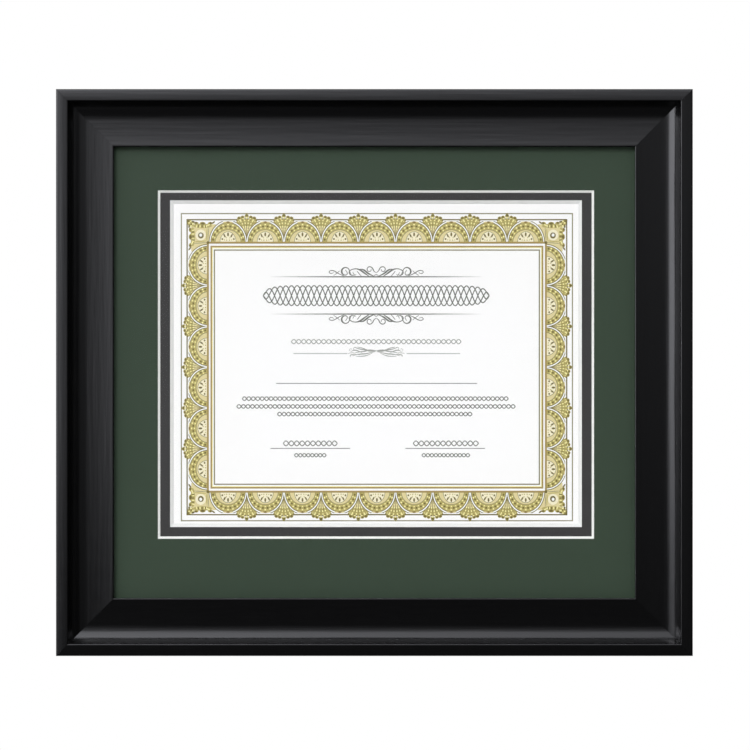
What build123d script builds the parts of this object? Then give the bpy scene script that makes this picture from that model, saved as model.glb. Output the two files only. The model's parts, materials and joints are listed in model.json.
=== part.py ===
from build123d import *
import os
from math import cos, radians, sin, tan

os.makedirs("parts", exist_ok=True)

# Certificate frame: a scooped wood moulding round a glazed, double matted letter sheet, in mm.
# X runs along the width, Z is up, the front faces -Y and the wall is on the +Y side.
# Pieces are drawn about the middle of the frame with the backs of the rails at Y = 0. All of
# them are then moved, so that the origin lies where a wall nail bears in the hanger.

# The sheet on show, and how far the lower mat laps over its edges
sheet_width = 279.4
sheet_height = 215.9
sheet_thickness = 0.25
lap_side = 9.85
lap_end = 5.35

# How much of the lower mat shows inside the upper mat's window
reveal_side = 6.3
reveal_top = 4.8
reveal_bottom = 6.0

# The upper mat's borders, wider at the foot as framers cut them
border_side = 31.5
border_top = 30.6
border_bottom = 44.0

# Layers of the package, from the glass to the back
glass_thickness = 2.0
upper_mat_thickness = 1.5
lower_mat_thickness = 2.2
mount_board_thickness = 1.5
filler_thickness = 3.0
backing_thickness = 2.5
package_slack = 0.15
bevel_angle = 45

# Clear film pockets on the sheet's corners
pocket_film = 0.1
pocket_leg = 13.0
pocket_fit = 0.2

# Folded tape that hinges the mats to the mount board along the top
tape_length = 240.0
tape_lap = 12.0
tape_film = 0.12

# Moulding section: widths run in from the outer edge, slopes are in degrees from the back face
rail_width = 36.8
rim_width = 7.7
rabbet_width = 6.0
rabbet_clearance = 1.6
package_shift = 1.0
lip_wall = 4.2
sight_arris = 0.8
inner_arris = 0.8
outer_arris = 1.0
cove_radius = 11.3
crown_inner_fall = 3.5
crown_outer_fall = 11
wall_slope = 82
run_foot_rise = 4
run_sight_rise = 10

# The rails meet at this angle to their lengths
mitre_angle = 45

# Steel corner nails, driven in from the back across each mitre until they are flush
nail_leg = 5.5
nail_half_angle = 55
nail_strip = 0.6
nail_depth = 9.0
nail_place_shares = (0.34, 0.66)

# Turn buttons and their screws
button_eye = 5.5
button_tip = 3.2
button_reach = 14.0
button_sheet = 1.2
button_lift = 1.5
button_lift_run = 5.0
button_inset = 8.5
button_spread_share = 0.25
screw_neck = 1.5
screw_running_clearance = 0.06
screw_core = 1.2
screw_core_length = 11.0
screw_point = 2.4
screw_head = 3.0
screw_head_height = 1.6
screw_head_edge = 0.5

# Sawtooth hanger and its nails
hanger_length = 64.0
hanger_height = 9.6
hanger_sheet = 0.8
hanger_rise = 2.4
hanger_foot = 8.0
hanger_ramp = 3.5
hanger_corner = 2.0
tooth_pitch = 3.2
tooth_depth = 1.7
tooth_count = 13
brad_shank = 0.7
brad_length = 10.0
brad_head = 1.7
brad_head_height = 0.7

# Wall bumpers on the lower corners
bumper_radius = 6.0
bumper_edge = 0.8
bumper_margin = 9.4

# How far a cutting solid runs past what it cuts
overrun = 1.0

# Windows: each opening is given at the mat's back, and the bevel widens it towards the front
bevel_slope = tan(radians(bevel_angle))
lower_back_width = sheet_width - 2 * lap_side
lower_back_height = sheet_height - 2 * lap_end
lower_front_width = lower_back_width + 2 * lower_mat_thickness * bevel_slope
lower_front_height = lower_back_height + 2 * lower_mat_thickness * bevel_slope
upper_back_width = lower_front_width + 2 * reveal_side
upper_back_height = lower_front_height + reveal_top + reveal_bottom
upper_front_width = upper_back_width + 2 * upper_mat_thickness * bevel_slope
upper_front_height = upper_back_height + 2 * upper_mat_thickness * bevel_slope

# The package lies on the bottom rail, so it sits low in the rabbet by the clearance
package_width = upper_front_width + 2 * border_side
package_height = upper_front_height + border_top + border_bottom
package_x = package_shift
package_z = -rabbet_clearance
upper_window_z = package_z - package_height / 2 + border_bottom + upper_front_height / 2
lower_window_z = upper_window_z + (reveal_bottom - reveal_top) / 2

# Y of the back face of each layer, counted from the lip towards the wall
sheet_space = sheet_thickness + 2 * pocket_film
board_layers = mount_board_thickness + filler_thickness + backing_thickness
glazing_layers = glass_thickness + upper_mat_thickness + lower_mat_thickness
rabbet_depth = glazing_layers + sheet_space + board_layers + package_slack
glass_back = -rabbet_depth + glass_thickness
upper_mat_back = glass_back + upper_mat_thickness
lower_mat_back = upper_mat_back + lower_mat_thickness
mount_board_back = lower_mat_back + sheet_space + mount_board_thickness
filler_back = mount_board_back + filler_thickness
backing_back = filler_back + backing_thickness
sheet_back = lower_mat_back + sheet_space - pocket_film

# The frame's opening and outline
sight_width = package_width + 2 * rabbet_clearance - 2 * rabbet_width
sight_height = package_height + 2 * rabbet_clearance - 2 * rabbet_width
outer_width = sight_width + 2 * rail_width
outer_height = sight_height + 2 * rail_width

# Radii of the moulding that follow from its widths and slopes
inner_arris_run = inner_arris * (sin(radians(wall_slope)) + sin(radians(crown_inner_fall)))
outer_arris_run = outer_arris * (1 - sin(radians(crown_outer_fall)))
crown_length = rim_width - inner_arris_run - outer_arris_run
crown_radius = crown_length / (sin(radians(crown_outer_fall)) - sin(radians(crown_inner_fall)))
cove_run = cove_radius * (sin(radians(wall_slope)) + sin(radians(run_foot_rise)))
sight_arris_run = sight_arris * (1 + sin(radians(run_sight_rise)))
run_length = rail_width - rim_width - cove_run - sight_arris_run
run_radius = run_length / (sin(radians(run_sight_rise)) - sin(radians(run_foot_rise)))

# Back faces of the rails, where the hardware sits
back_face_width = rail_width - rabbet_width
back_face_middle = back_face_width / 2
button_line = back_face_width - button_inset

# The hanger's notch where the wall nail bears, which becomes the origin
hanger_z = outer_height / 2 - back_face_middle
notch_z = hanger_z - hanger_height / 2 + tooth_depth
notch_y = hanger_rise + hanger_sheet / 2
hang_point = Vector(0, notch_y, notch_z)

# The rails' backs seen from the wall: X runs to the part's -X, Y is up and Z points at the wall
wall_side = Plane(origin=(0, 0, 0), x_dir=(-1, 0, 0), z_dir=(0, 1, 0))

# Places a turned shape with its foot on Z = 0
standing = (Align.CENTER, Align.CENTER, Align.MIN)

pieces = {}


def front_plane(y):
    """Upright plane at depth y, seen from the front: extruding from it goes towards the front."""
    return Plane.XZ.offset(-y)


def board(thickness, back_y):
    """A board of the package's outline with its back face at back_y."""
    outline = Pos(package_x, package_z) * Rectangle(package_width, package_height)
    return extrude(front_plane(back_y) * outline, thickness)


def bevelled_window(width, height, middle_z, thickness, back_y):
    """Cutter for a mat's window, given by its size at the back face."""
    sections = []
    for reach in (-overrun, thickness + overrun):
        growth = 2 * reach * bevel_slope
        opening = Pos(package_x, middle_z) * Rectangle(width + growth, height + growth)
        sections.append(front_plane(back_y - reach) * opening)
    return loft(sections)


def moulding_section():
    """Section of the moulding: X runs in from the outer edge, Y runs forward from the back face."""
    lip_front = rabbet_depth + lip_wall
    sight = JernArc((rail_width, lip_front), (0, 1), sight_arris, 90 + run_sight_rise)
    run = JernArc(sight @ 1, sight % 1, run_radius, run_foot_rise - run_sight_rise)
    cove = JernArc(run @ 1, run % 1, cove_radius, -(wall_slope + run_foot_rise))
    inner = JernArc(cove @ 1, cove % 1, inner_arris, wall_slope + crown_inner_fall)
    crown = JernArc(inner @ 1, inner % 1, crown_radius, crown_outer_fall - crown_inner_fall)
    outer = JernArc(crown @ 1, crown % 1, outer_arris, 90 - crown_outer_fall)
    back = Polyline(
        outer @ 1,
        (0, 0),
        (back_face_width, 0),
        (back_face_width, rabbet_depth),
        (rail_width, rabbet_depth),
        sight @ 0,
    )
    return make_face([sight, run, cove, inner, crown, outer, back])


def mitred_rail(length):
    """A rail along X with its outer edge on Z = 0, its sight edge above and mitres at both ends."""
    start = Plane(origin=(-length / 2, 0, 0), x_dir=(0, 0, 1), z_dir=(1, 0, 0))
    rail = extrude(start * moulding_section(), length)
    for side in (-1, 1):
        facing = (-side * sin(radians(mitre_angle)), 0, -cos(radians(mitre_angle)))
        mitre = Plane(origin=(side * length / 2, 0, 0), z_dir=facing)
        rail = split(rail, bisect_by=mitre, keep=Keep.TOP)
    return rail


def bent_strip(points, thickness):
    """Section of sheet metal bent along a line of points, with its thickness on the line's left."""
    outline = offset(Polyline(points), thickness, kind=Kind.INTERSECTION, side=Side.LEFT)
    return make_face(outline.edges())


def corner_nails(side_x, side_z):
    """The two V nails of one corner, with their points on the mitre and opening to the middle."""
    spread_x = nail_leg * sin(radians(nail_half_angle))
    spread_y = nail_leg * cos(radians(nail_half_angle))
    strip = bent_strip([(-spread_x, spread_y), (0, 0), (spread_x, spread_y)], nail_strip)
    nail = extrude(strip, -nail_depth)
    turn = mitre_angle if side_x * side_z > 0 else -mitre_angle
    if side_z > 0:
        turn += 180
    nails = []
    for share in nail_place_shares:
        inward = share * back_face_width
        x = -side_x * (outer_width / 2 - inward)
        z = side_z * (outer_height / 2 - inward)
        nails.append(wall_side * Pos(x, z) * Rot(0, 0, turn) * nail)
    return nails


def turn_button():
    """A pressed steel button lying on Z = 0: the screw's eye at the origin, the tip towards +Y."""
    eye = Circle(button_eye)
    tip = Pos(0, button_reach) * Circle(button_tip)
    plan = make_hull(eye.edges() + tip.edges())
    plan -= Circle(screw_neck + screw_running_clearance)
    bend = button_reach + button_tip - button_lift_run
    far_run = button_lift_run + overrun
    far_lift = button_lift * far_run / button_lift_run
    line = [(-button_eye - overrun, 0), (bend, 0), (bend + far_run, far_lift)]
    slab = extrude(Plane.YZ * bent_strip(line, button_sheet), button_eye, both=True)
    return slab & extrude(plan, far_lift + 2 * button_sheet)


def button_screw():
    """A pan-head screw whose head bears on a button of the sheet's thickness, its point at -Z."""
    head_top = button_sheet + screw_head_height
    edge_top = button_sheet + screw_head_edge
    dome = TangentArc((0, head_top), (screw_head, edge_top), tangent=(1, 0))
    body = Polyline(
        (screw_head, edge_top),
        (screw_head, button_sheet),
        (screw_neck, button_sheet),
        (screw_neck, 0),
        (screw_core, 0),
        (screw_core, -screw_core_length),
        (0, -screw_core_length - screw_point),
        (0, head_top),
    )
    return revolve(Plane.XZ * make_face([dome, body]), Axis.Z)


def sawtooth_hanger():
    """A strip bridged over the rail's back face, which is Z = 0, with teeth along its lower edge."""
    half = hanger_length / 2
    bridge_end = half - hanger_foot
    bridge_top = bridge_end - hanger_ramp
    line = [
        (-half, 0),
        (-bridge_end, 0),
        (-bridge_top, hanger_rise),
        (bridge_top, hanger_rise),
        (bridge_end, 0),
        (half, 0),
    ]
    strip = extrude(Plane.XZ * bent_strip(line, hanger_sheet), hanger_height / 2, both=True)
    plan = RectangleRounded(hanger_length, hanger_height, hanger_corner)
    edge = -hanger_height / 2
    for index in range(tooth_count):
        middle = (index - (tooth_count - 1) / 2) * tooth_pitch
        notch = Polyline(
            (middle - tooth_pitch / 2, edge),
            (middle, edge + tooth_depth),
            (middle + tooth_pitch / 2, edge),
            close=True,
        )
        plan -= make_face(notch)
    for side in (-1, 1):
        plan -= Pos(side * (half - hanger_foot / 2), 0) * Circle(brad_shank)
    return strip & extrude(plan, hanger_rise + hanger_sheet)


def hanger_brad():
    """A small nail through the hanger's foot, its head on the strip and its point at -Z."""
    shank = Cylinder(brad_shank, brad_length, align=(Align.CENTER, Align.CENTER, Align.MAX))
    head = Cone(brad_head, brad_shank, brad_head_height, align=standing)
    return Pos(0, 0, hanger_sheet) * (shank + head)


def wall_bumper():
    """A round bumper on Z = 0, as tall as the hanger, with a bevelled rim."""
    body = Cylinder(bumper_radius, hanger_rise + hanger_sheet, align=standing)
    rim = body.faces().sort_by(Axis.Z)[-1].edges()
    return chamfer(rim, bumper_edge)


def corner_pocket(side_x, side_z):
    """Clear film folded round one corner of the sheet."""
    reach = pocket_fit + pocket_film
    corner_x = package_x + side_x * (sheet_width / 2 + reach)
    corner_z = lower_window_z + side_z * (sheet_height / 2 + reach)
    leg = pocket_leg + reach
    triangle = Polyline(
        (corner_x, corner_z),
        (corner_x - side_x * leg, corner_z),
        (corner_x, corner_z - side_z * leg),
        close=True,
    )
    envelope = extrude(front_plane(sheet_back + pocket_film) * make_face(triangle), sheet_space)
    room_width = sheet_width + 2 * pocket_fit
    room_height = sheet_height + 2 * pocket_fit
    room = Pos(package_x, lower_window_z) * Rectangle(room_width, room_height)
    return envelope - extrude(front_plane(sheet_back) * room, sheet_thickness)


def hinge_tape():
    """Tape folded along the package's top edge, one leaf on the lower mat and one on the mount board."""
    top = package_z + package_height / 2
    inside = sheet_space - 2 * tape_film
    outer = Pos(package_x, top - tape_lap / 2) * Rectangle(tape_length, tape_lap)
    inner = Pos(package_x, top - tape_film - tape_lap / 2) * Rectangle(tape_length + overrun, tape_lap)
    folded = extrude(front_plane(lower_mat_back + sheet_space) * outer, sheet_space)
    return folded - extrude(front_plane(lower_mat_back + sheet_space - tape_film) * inner, inside)


# The glazed package, from the lip to the back
pieces["glass_pane"] = board(glass_thickness, glass_back)
pieces["upper_mat"] = board(upper_mat_thickness, upper_mat_back) - bevelled_window(
    upper_back_width, upper_back_height, upper_window_z, upper_mat_thickness, upper_mat_back
)
pieces["lower_mat"] = board(lower_mat_thickness, lower_mat_back) - bevelled_window(
    lower_back_width, lower_back_height, lower_window_z, lower_mat_thickness, lower_mat_back
)
pieces["mat_hinge_tape"] = hinge_tape()
sheet_outline = Pos(package_x, lower_window_z) * Rectangle(sheet_width, sheet_height)
pieces["certificate_sheet"] = extrude(front_plane(sheet_back) * sheet_outline, sheet_thickness)
for name_z, side_z in (("top", 1), ("bottom", -1)):
    for name_x, side_x in (("left", -1), ("right", 1)):
        pieces[f"corner_pocket_{name_z}_{name_x}"] = corner_pocket(side_x, side_z)
pieces["mount_board"] = board(mount_board_thickness, mount_board_back)
pieces["filler_board"] = board(filler_thickness, filler_back)
pieces["backing_board"] = board(backing_thickness, backing_back)

# Hardware on the rails' backs: its place seen from the wall, and the turn that points it inwards
button_line_x = outer_width / 2 - button_line
button_line_z = outer_height / 2 - button_line
spread_x = button_spread_share * outer_width
spread_z = button_spread_share * outer_height
button_places = {
    "top_left": Pos(spread_x, button_line_z) * Rot(0, 0, 180),
    "top_right": Pos(-spread_x, button_line_z) * Rot(0, 0, 180),
    "bottom_left": Pos(spread_x, -button_line_z),
    "bottom_right": Pos(-spread_x, -button_line_z),
    "left_upper": Pos(button_line_x, spread_z) * Rot(0, 0, 90),
    "left_lower": Pos(button_line_x, -spread_z) * Rot(0, 0, 90),
    "right_upper": Pos(-button_line_x, spread_z) * Rot(0, 0, -90),
    "right_lower": Pos(-button_line_x, -spread_z) * Rot(0, 0, -90),
}
screws = []
for name, place in button_places.items():
    pieces[f"turn_button_{name}"] = wall_side * place * turn_button()
    screws.append(wall_side * place * button_screw())
pieces["button_screws"] = Compound([screw.solid() for screw in screws])

pieces["sawtooth_hanger"] = wall_side * Pos(0, hanger_z) * sawtooth_hanger()
brads = []
for side in (-1, 1):
    brad_x = side * (hanger_length - hanger_foot) / 2
    brads.append(wall_side * Pos(brad_x, hanger_z) * hanger_brad())
pieces["hanger_nails"] = Compound([brad.solid() for brad in brads])
bumper_x = outer_width / 2 - bumper_margin - bumper_radius
bumper_z = outer_height / 2 - bumper_margin - bumper_radius
for name, side in (("left", 1), ("right", -1)):
    pieces[f"bumper_{name}"] = wall_side * Pos(side * bumper_x, -bumper_z) * wall_bumper()

# Corner nails, then the rails with the seats that the nails and screws have cut in them
nails = []
for side_x in (-1, 1):
    for side_z in (-1, 1):
        nails += corner_nails(side_x, side_z)
pieces["v_nails"] = Compound([nail.solid() for nail in nails])
rails = {
    "rail_bottom": Pos(0, 0, -outer_height / 2) * mitred_rail(outer_width),
    "rail_top": Pos(0, 0, outer_height / 2) * Rot(0, 180, 0) * mitred_rail(outer_width),
    "rail_left": Pos(-outer_width / 2, 0, 0) * Rot(0, 90, 0) * mitred_rail(outer_height),
    "rail_right": Pos(outer_width / 2, 0, 0) * Rot(0, -90, 0) * mitred_rail(outer_height),
}
for name, rail in rails.items():
    pieces[name] = rail - nails - screws - brads

for name, piece in pieces.items():
    export_step(Pos(-hang_point) * piece, f"parts/{name}.step")
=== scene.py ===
"""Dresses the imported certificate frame: lacquered moulding, glass, mats, printed sheet and hardware."""

import json
import logging
from dataclasses import dataclass
from enum import Enum
from itertools import product
from math import asin, cos, pi, radians, sin
from typing import Any, Iterable, Sequence

import bmesh
import bpy
from mathutils import Matrix, Vector


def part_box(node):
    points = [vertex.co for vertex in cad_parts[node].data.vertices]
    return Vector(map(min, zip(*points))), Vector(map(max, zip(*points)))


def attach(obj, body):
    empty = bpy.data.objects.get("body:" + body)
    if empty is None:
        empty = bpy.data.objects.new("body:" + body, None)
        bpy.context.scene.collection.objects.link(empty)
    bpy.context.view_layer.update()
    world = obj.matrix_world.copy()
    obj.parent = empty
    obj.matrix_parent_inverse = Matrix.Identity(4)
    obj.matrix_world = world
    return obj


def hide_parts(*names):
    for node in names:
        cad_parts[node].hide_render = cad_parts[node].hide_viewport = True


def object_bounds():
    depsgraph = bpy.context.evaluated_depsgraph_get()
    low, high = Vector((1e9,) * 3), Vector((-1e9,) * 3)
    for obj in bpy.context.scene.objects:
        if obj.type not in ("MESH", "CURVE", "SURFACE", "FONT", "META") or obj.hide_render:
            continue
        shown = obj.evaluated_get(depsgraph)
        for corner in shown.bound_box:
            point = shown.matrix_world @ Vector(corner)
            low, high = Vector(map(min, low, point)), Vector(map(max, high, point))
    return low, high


log = logging.getLogger("certificate_frame")

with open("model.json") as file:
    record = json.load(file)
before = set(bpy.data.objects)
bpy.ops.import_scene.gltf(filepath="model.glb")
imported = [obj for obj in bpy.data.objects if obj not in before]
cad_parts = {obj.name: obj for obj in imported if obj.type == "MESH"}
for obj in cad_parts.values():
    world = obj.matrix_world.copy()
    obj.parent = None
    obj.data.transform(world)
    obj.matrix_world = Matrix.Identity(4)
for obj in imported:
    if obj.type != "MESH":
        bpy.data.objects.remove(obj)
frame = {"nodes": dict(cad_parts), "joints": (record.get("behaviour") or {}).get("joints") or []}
CAD_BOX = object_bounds()

MM = 0.001
ROOT = "frame"
WELD = 1e-7
NEAR = 1e-6

Triple = tuple[float, float, float]


# Shader maths


class Wire:
    """A shader socket that takes part in Python expressions, each of which adds a Math node."""

    def __init__(self, tree: bpy.types.NodeTree, socket: bpy.types.NodeSocket) -> None:
        """Wraps a socket.

        Args:
            tree: the node tree that the socket is in.
            socket: the output socket.
        """
        self.tree = tree
        self.socket = socket

    def math(self, operation: str, first: Any, second: Any = 0.0) -> "Wire":
        """Adds one Math node.

        Args:
            operation: the node's operation.
            first: the first operand, a Wire or a number.
            second: the second operand, a Wire or a number.

        Returns:
            The node's result.
        """
        node = self.tree.nodes.new("ShaderNodeMath")
        node.operation = operation
        for slot, value in zip(node.inputs, (first, second)):
            feed(self.tree, slot, value)
        return Wire(self.tree, node.outputs[0])

    def __add__(self, other: Any) -> "Wire":
        """self + other."""
        return self.math("ADD", self, other)

    def __radd__(self, other: Any) -> "Wire":
        """other + self."""
        return self.math("ADD", other, self)

    def __sub__(self, other: Any) -> "Wire":
        """self - other."""
        return self.math("SUBTRACT", self, other)

    def __rsub__(self, other: Any) -> "Wire":
        """other - self."""
        return self.math("SUBTRACT", other, self)

    def __mul__(self, other: Any) -> "Wire":
        """self * other."""
        return self.math("MULTIPLY", self, other)

    def __rmul__(self, other: Any) -> "Wire":
        """other * self."""
        return self.math("MULTIPLY", other, self)

    def clamp(self, low: float, high: float) -> "Wire":
        """self, kept between low and high."""
        return self.math("MINIMUM", self.math("MAXIMUM", self, low), high)


def feed(tree: bpy.types.NodeTree, slot: bpy.types.NodeSocket, value: Any) -> None:
    """Links a Wire into an input, or sets the input's own value.

    Args:
        tree: the node tree.
        slot: the input socket.
        value: a Wire, or a value that the socket takes.
    """
    if isinstance(value, Wire):
        tree.links.new(value.socket, slot)
    else:
        slot.default_value = value


class Recipe:
    """The node tree of one material or of the world, built by short calls."""

    def __init__(self, owner: bpy.types.Material | bpy.types.World) -> None:
        """Gives a material or a world an empty node tree and keeps it.

        Args:
            owner: the material or the world.
        """
        owner.use_nodes = True
        self.tree = owner.node_tree
        self.tree.nodes.clear()

    def node(self, kind: str, inputs: dict | None = None, **settings: Any) -> Any:
        """Adds a node.

        Args:
            kind: the node's type, without ShaderNode in front.
            inputs: socket name or number to a value or a Wire.
            settings: properties of the node, set before its inputs.

        Returns:
            The new node.
        """
        node = self.tree.nodes.new("ShaderNode" + kind)
        for name, value in settings.items():
            setattr(node, name, value)
        for name, value in (inputs or {}).items():
            feed(self.tree, node.inputs[name], value)
        return node

    def wire(self, node: Any, output: str | int = 0) -> Wire:
        """An output of a node as a Wire."""
        return Wire(self.tree, node.outputs[output])

    def place(self, kind: str = "Object") -> Wire:
        """The coordinates of the shaded point, which in the object's own space are metres."""
        return self.wire(self.node("TexCoord"), kind)

    def axes(self, kind: str = "Object") -> list[Wire]:
        """The same coordinates along X, Y and Z."""
        apart = self.node("SeparateXYZ", {0: self.place(kind)})
        return [self.wire(apart, index) for index in range(3)]

    def noise(
        self, a_metre: float, detail: float = 2.0, roughness: float = 0.5, stretch: Triple = (1.0, 1.0, 1.0)
    ) -> Wire:
        """Noise between 0 and 1.

        Args:
            a_metre: how many features it has a metre.
            detail: how many finer layers it has.
            roughness: how strong the finer layers are.
            stretch: factors on the number of features along X, Y and Z.

        Returns:
            The noise.
        """
        scale = tuple(a_metre * share for share in stretch)
        mapping = self.node("Mapping", {"Vector": self.place(), "Scale": scale})
        inputs = {"Vector": self.wire(mapping), "Scale": 1.0, "Detail": detail, "Roughness": roughness}
        return self.wire(self.node("TexNoise", inputs, noise_dimensions="3D"), "Fac")

    def blend(self, factor: Any, first: Triple, second: Triple) -> Wire:
        """A mix of two linear colours, with as much of the second as the factor says."""
        node = self.node("Mix", {0: factor, 6: (*first, 1.0), 7: (*second, 1.0)}, data_type="RGBA")
        return self.wire(node, 2)

    def bump(self, height: Wire, distance: float) -> Wire:
        """A normal raised by a height, of which 1 is a distance in metres."""
        return self.wire(self.node("Bump", {"Height": height, "Distance": distance, "Strength": 1.0}))

    def end(self, shader: Any, output: str = "OutputMaterial") -> None:
        """Ends the tree in a shader."""
        self.tree.links.new(shader.outputs[0], self.node(output).inputs["Surface"])

    def principled(self, inputs: dict) -> None:
        """Ends the tree in a Principled shader with these inputs."""
        self.end(self.node("BsdfPrincipled", inputs))


def shade(colour: Triple, factor: float) -> Triple:
    """A colour made lighter or darker by a factor."""
    return tuple(min(1.0, part * factor) for part in colour)


# Finishes


class Finish:
    """Something that a piece is made of or coated with."""

    name: str
    colour: Triple

    def build(self, recipe: Recipe) -> None:
        """Fills the material's node tree."""
        raise NotImplementedError

    def tones(self, recipe: Recipe, factor: Wire, shades: tuple[float, float]) -> Wire:
        """The finish's colour, varied by a factor from its darkest shade to its lightest."""
        return recipe.blend(factor, *(shade(self.colour, share) for share in shades))

    def material(self) -> bpy.types.Material:
        """Makes the finish's material, or finds the one made before.

        Returns:
            The material.
        """
        known = bpy.data.materials.get(self.name)
        if known:
            return known
        material = bpy.data.materials.new(self.name)
        self.build(Recipe(material))
        return material


class Grain(Enum):
    """The way that the grain of a length of moulding runs, as a stretch of noise."""

    ALONG_X = (0.04, 1.0, 1.0)
    ALONG_Z = (1.0, 1.0, 0.04)


@dataclass(frozen=True)
class SatinLacquer(Finish):
    """Black satin lacquer, brushed and rubbed along the grain of the wood under it."""

    name: str
    grain: Grain
    colour: Triple = (0.0012, 0.0012, 0.0013)
    shades: tuple[float, float] = (0.7, 1.3)
    grain_a_metre: float = 420.0
    streaks_a_metre: float = 1500.0
    pores_a_metre: float = 6000.0
    mottle_a_metre: float = 160.0
    roughness: float = 0.12
    streak_roughness: float = 0.12
    mottle_roughness: float = 0.06
    grain_height: float = 8.0
    streak_height: float = 0.6
    pore_height: float = 0.4
    relief: float = 0.012 * MM

    def build(self, recipe: Recipe) -> None:
        """Streaks along the grain vary the sheen and lift the surface a little.

        Args:
            recipe: the material's empty node tree.
        """
        along = self.grain.value
        wood = recipe.noise(self.grain_a_metre, stretch=along)
        streaks = recipe.noise(self.streaks_a_metre, detail=3.0, roughness=0.6, stretch=along)
        pores = recipe.noise(self.pores_a_metre, stretch=along)
        mottle = recipe.noise(self.mottle_a_metre)
        height = self.grain_height * wood + self.streak_height * streaks + self.pore_height * pores
        recipe.principled({
            "Base Color": self.tones(recipe, streaks, self.shades),
            "Roughness": self.roughness + self.streak_roughness * streaks + self.mottle_roughness * mottle,
            "Normal": recipe.bump(height, self.relief),
        })


@dataclass(frozen=True)
class BoardPaper(Finish):
    """The uncoated facing paper of a mat or mount board: fine fibres and a faint mottle."""

    name: str
    colour: Triple
    contrast: float = 0.16
    fibre_share: float = 0.5
    fibres_a_metre: float = 2600.0
    mottle_a_metre: float = 420.0
    roughness: float = 0.9
    gloss: float = 0.15
    relief: float = 0.03 * MM

    def build(self, recipe: Recipe) -> None:
        """Mottle and fibres in the colour, fibres in the relief.

        Args:
            recipe: the material's empty node tree.
        """
        fibres = recipe.noise(self.fibres_a_metre, detail=3.0, roughness=0.7)
        mottle = recipe.noise(self.mottle_a_metre, detail=3.0, roughness=0.6)
        tone = self.fibre_share * fibres + (1 - self.fibre_share) * mottle
        recipe.principled({
            "Base Color": self.tones(recipe, tone, (1 - self.contrast, 1 + self.contrast)),
            "Roughness": self.roughness,
            "Specular IOR Level": self.gloss,
            "Normal": recipe.bump(fibres, self.relief),
        })


@dataclass(frozen=True)
class Ink(Finish):
    """Printing ink on paper: flat, with the little unevenness of a printed solid."""

    name: str
    colour: Triple
    shades: tuple[float, float] = (0.9, 1.1)
    grain_a_metre: float = 1800.0
    roughness: float = 0.6

    def build(self, recipe: Recipe) -> None:
        """A fine mottle in the colour."""
        colour = self.tones(recipe, recipe.noise(self.grain_a_metre), self.shades)
        recipe.principled({"Base Color": colour, "Roughness": self.roughness})


@dataclass(frozen=True)
class PictureGlass(Finish):
    """Clear coated picture glass, which reflects little at a right angle."""

    name: str = "picture_glass"
    colour: Triple = (0.994, 0.998, 0.995)
    coating_ior: float = 1.1
    sheen_roughness: float = 0.02

    def build(self, recipe: Recipe) -> None:
        """See-through, with a thin reflection that grows at a glancing angle.

        Args:
            recipe: the material's empty node tree.
        """
        clear = recipe.node("BsdfTransparent", {"Color": (*self.colour, 1.0)})
        gloss = recipe.node("BsdfGlossy", {"Roughness": self.sheen_roughness})
        fresnel = recipe.node("Fresnel", {"IOR": self.coating_ior})
        parts = {index: recipe.wire(node) for index, node in enumerate((fresnel, clear, gloss))}
        recipe.end(recipe.node("MixShader", parts))


@dataclass(frozen=True)
class Hardboard(Finish):
    """Brown hardboard with its smooth face out: flecks of fibre and a dull burnished sheen."""

    name: str = "brown_hardboard"
    colour: Triple = (0.115, 0.062, 0.032)
    shades: tuple[float, float] = (0.55, 1.5)
    flecks_a_metre: float = 900.0
    fleck_stretch: Triple = (1.0, 1.0, 3.0)
    clouds_a_metre: float = 28.0
    fleck_share: float = 0.65
    roughness: float = 0.42
    fleck_roughness: float = 0.25
    relief: float = 0.03 * MM

    def build(self, recipe: Recipe) -> None:
        """Flecks over broad clouds of a darker press mark.

        Args:
            recipe: the material's empty node tree.
        """
        flecks = recipe.noise(self.flecks_a_metre, detail=4.0, roughness=0.7, stretch=self.fleck_stretch)
        clouds = recipe.noise(self.clouds_a_metre, detail=3.0)
        tone = (self.fleck_share * flecks + (1 - self.fleck_share) * clouds).clamp(0.0, 1.0)
        recipe.principled({
            "Base Color": self.tones(recipe, tone, self.shades),
            "Roughness": self.roughness + self.fleck_roughness * flecks,
            "Normal": recipe.bump(flecks, self.relief),
        })


@dataclass(frozen=True)
class Metal(Finish):
    """Plated or blackened steel: the metal's colour, brushed unevenness and small wear."""

    name: str
    colour: Triple
    roughness: float
    metallic: float = 1.0
    shades: tuple[float, float] = (0.75, 1.2)
    scuffs_a_metre: float = 2400.0
    scuff_stretch: Triple = (1.0, 1.0, 0.2)
    scuff_roughness: float = 0.25
    stains_a_metre: float = 240.0
    relief: float = 0.01 * MM

    def build(self, recipe: Recipe) -> None:
        """Scuffs vary the sheen and the relief, and broader stains vary the colour.

        Args:
            recipe: the material's empty node tree.
        """
        scuffs = recipe.noise(self.scuffs_a_metre, detail=3.0, stretch=self.scuff_stretch)
        stains = recipe.noise(self.stains_a_metre)
        recipe.principled({
            "Base Color": self.tones(recipe, stains, self.shades),
            "Metallic": self.metallic,
            "Roughness": self.roughness + self.scuff_roughness * scuffs,
            "Normal": recipe.bump(scuffs, self.relief),
        })


@dataclass(frozen=True)
class SoftRubber(Finish):
    """Dull moulded rubber."""

    name: str = "bumper_rubber"
    colour: Triple = (0.018, 0.018, 0.018)
    shades: tuple[float, float] = (0.7, 1.8)
    grain_a_metre: float = 3200.0
    roughness: float = 0.65
    grain_roughness: float = 0.2
    relief: float = 0.03 * MM

    def build(self, recipe: Recipe) -> None:
        """A fine moulded grain, lighter on its high points and darker in its hollows.

        Args:
            recipe: the material's empty node tree.
        """
        grain = recipe.noise(self.grain_a_metre, detail=3.0)
        recipe.principled({
            "Base Color": self.tones(recipe, grain, self.shades),
            "Roughness": self.roughness + self.grain_roughness * grain,
            "Normal": recipe.bump(grain, self.relief),
        })


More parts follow.
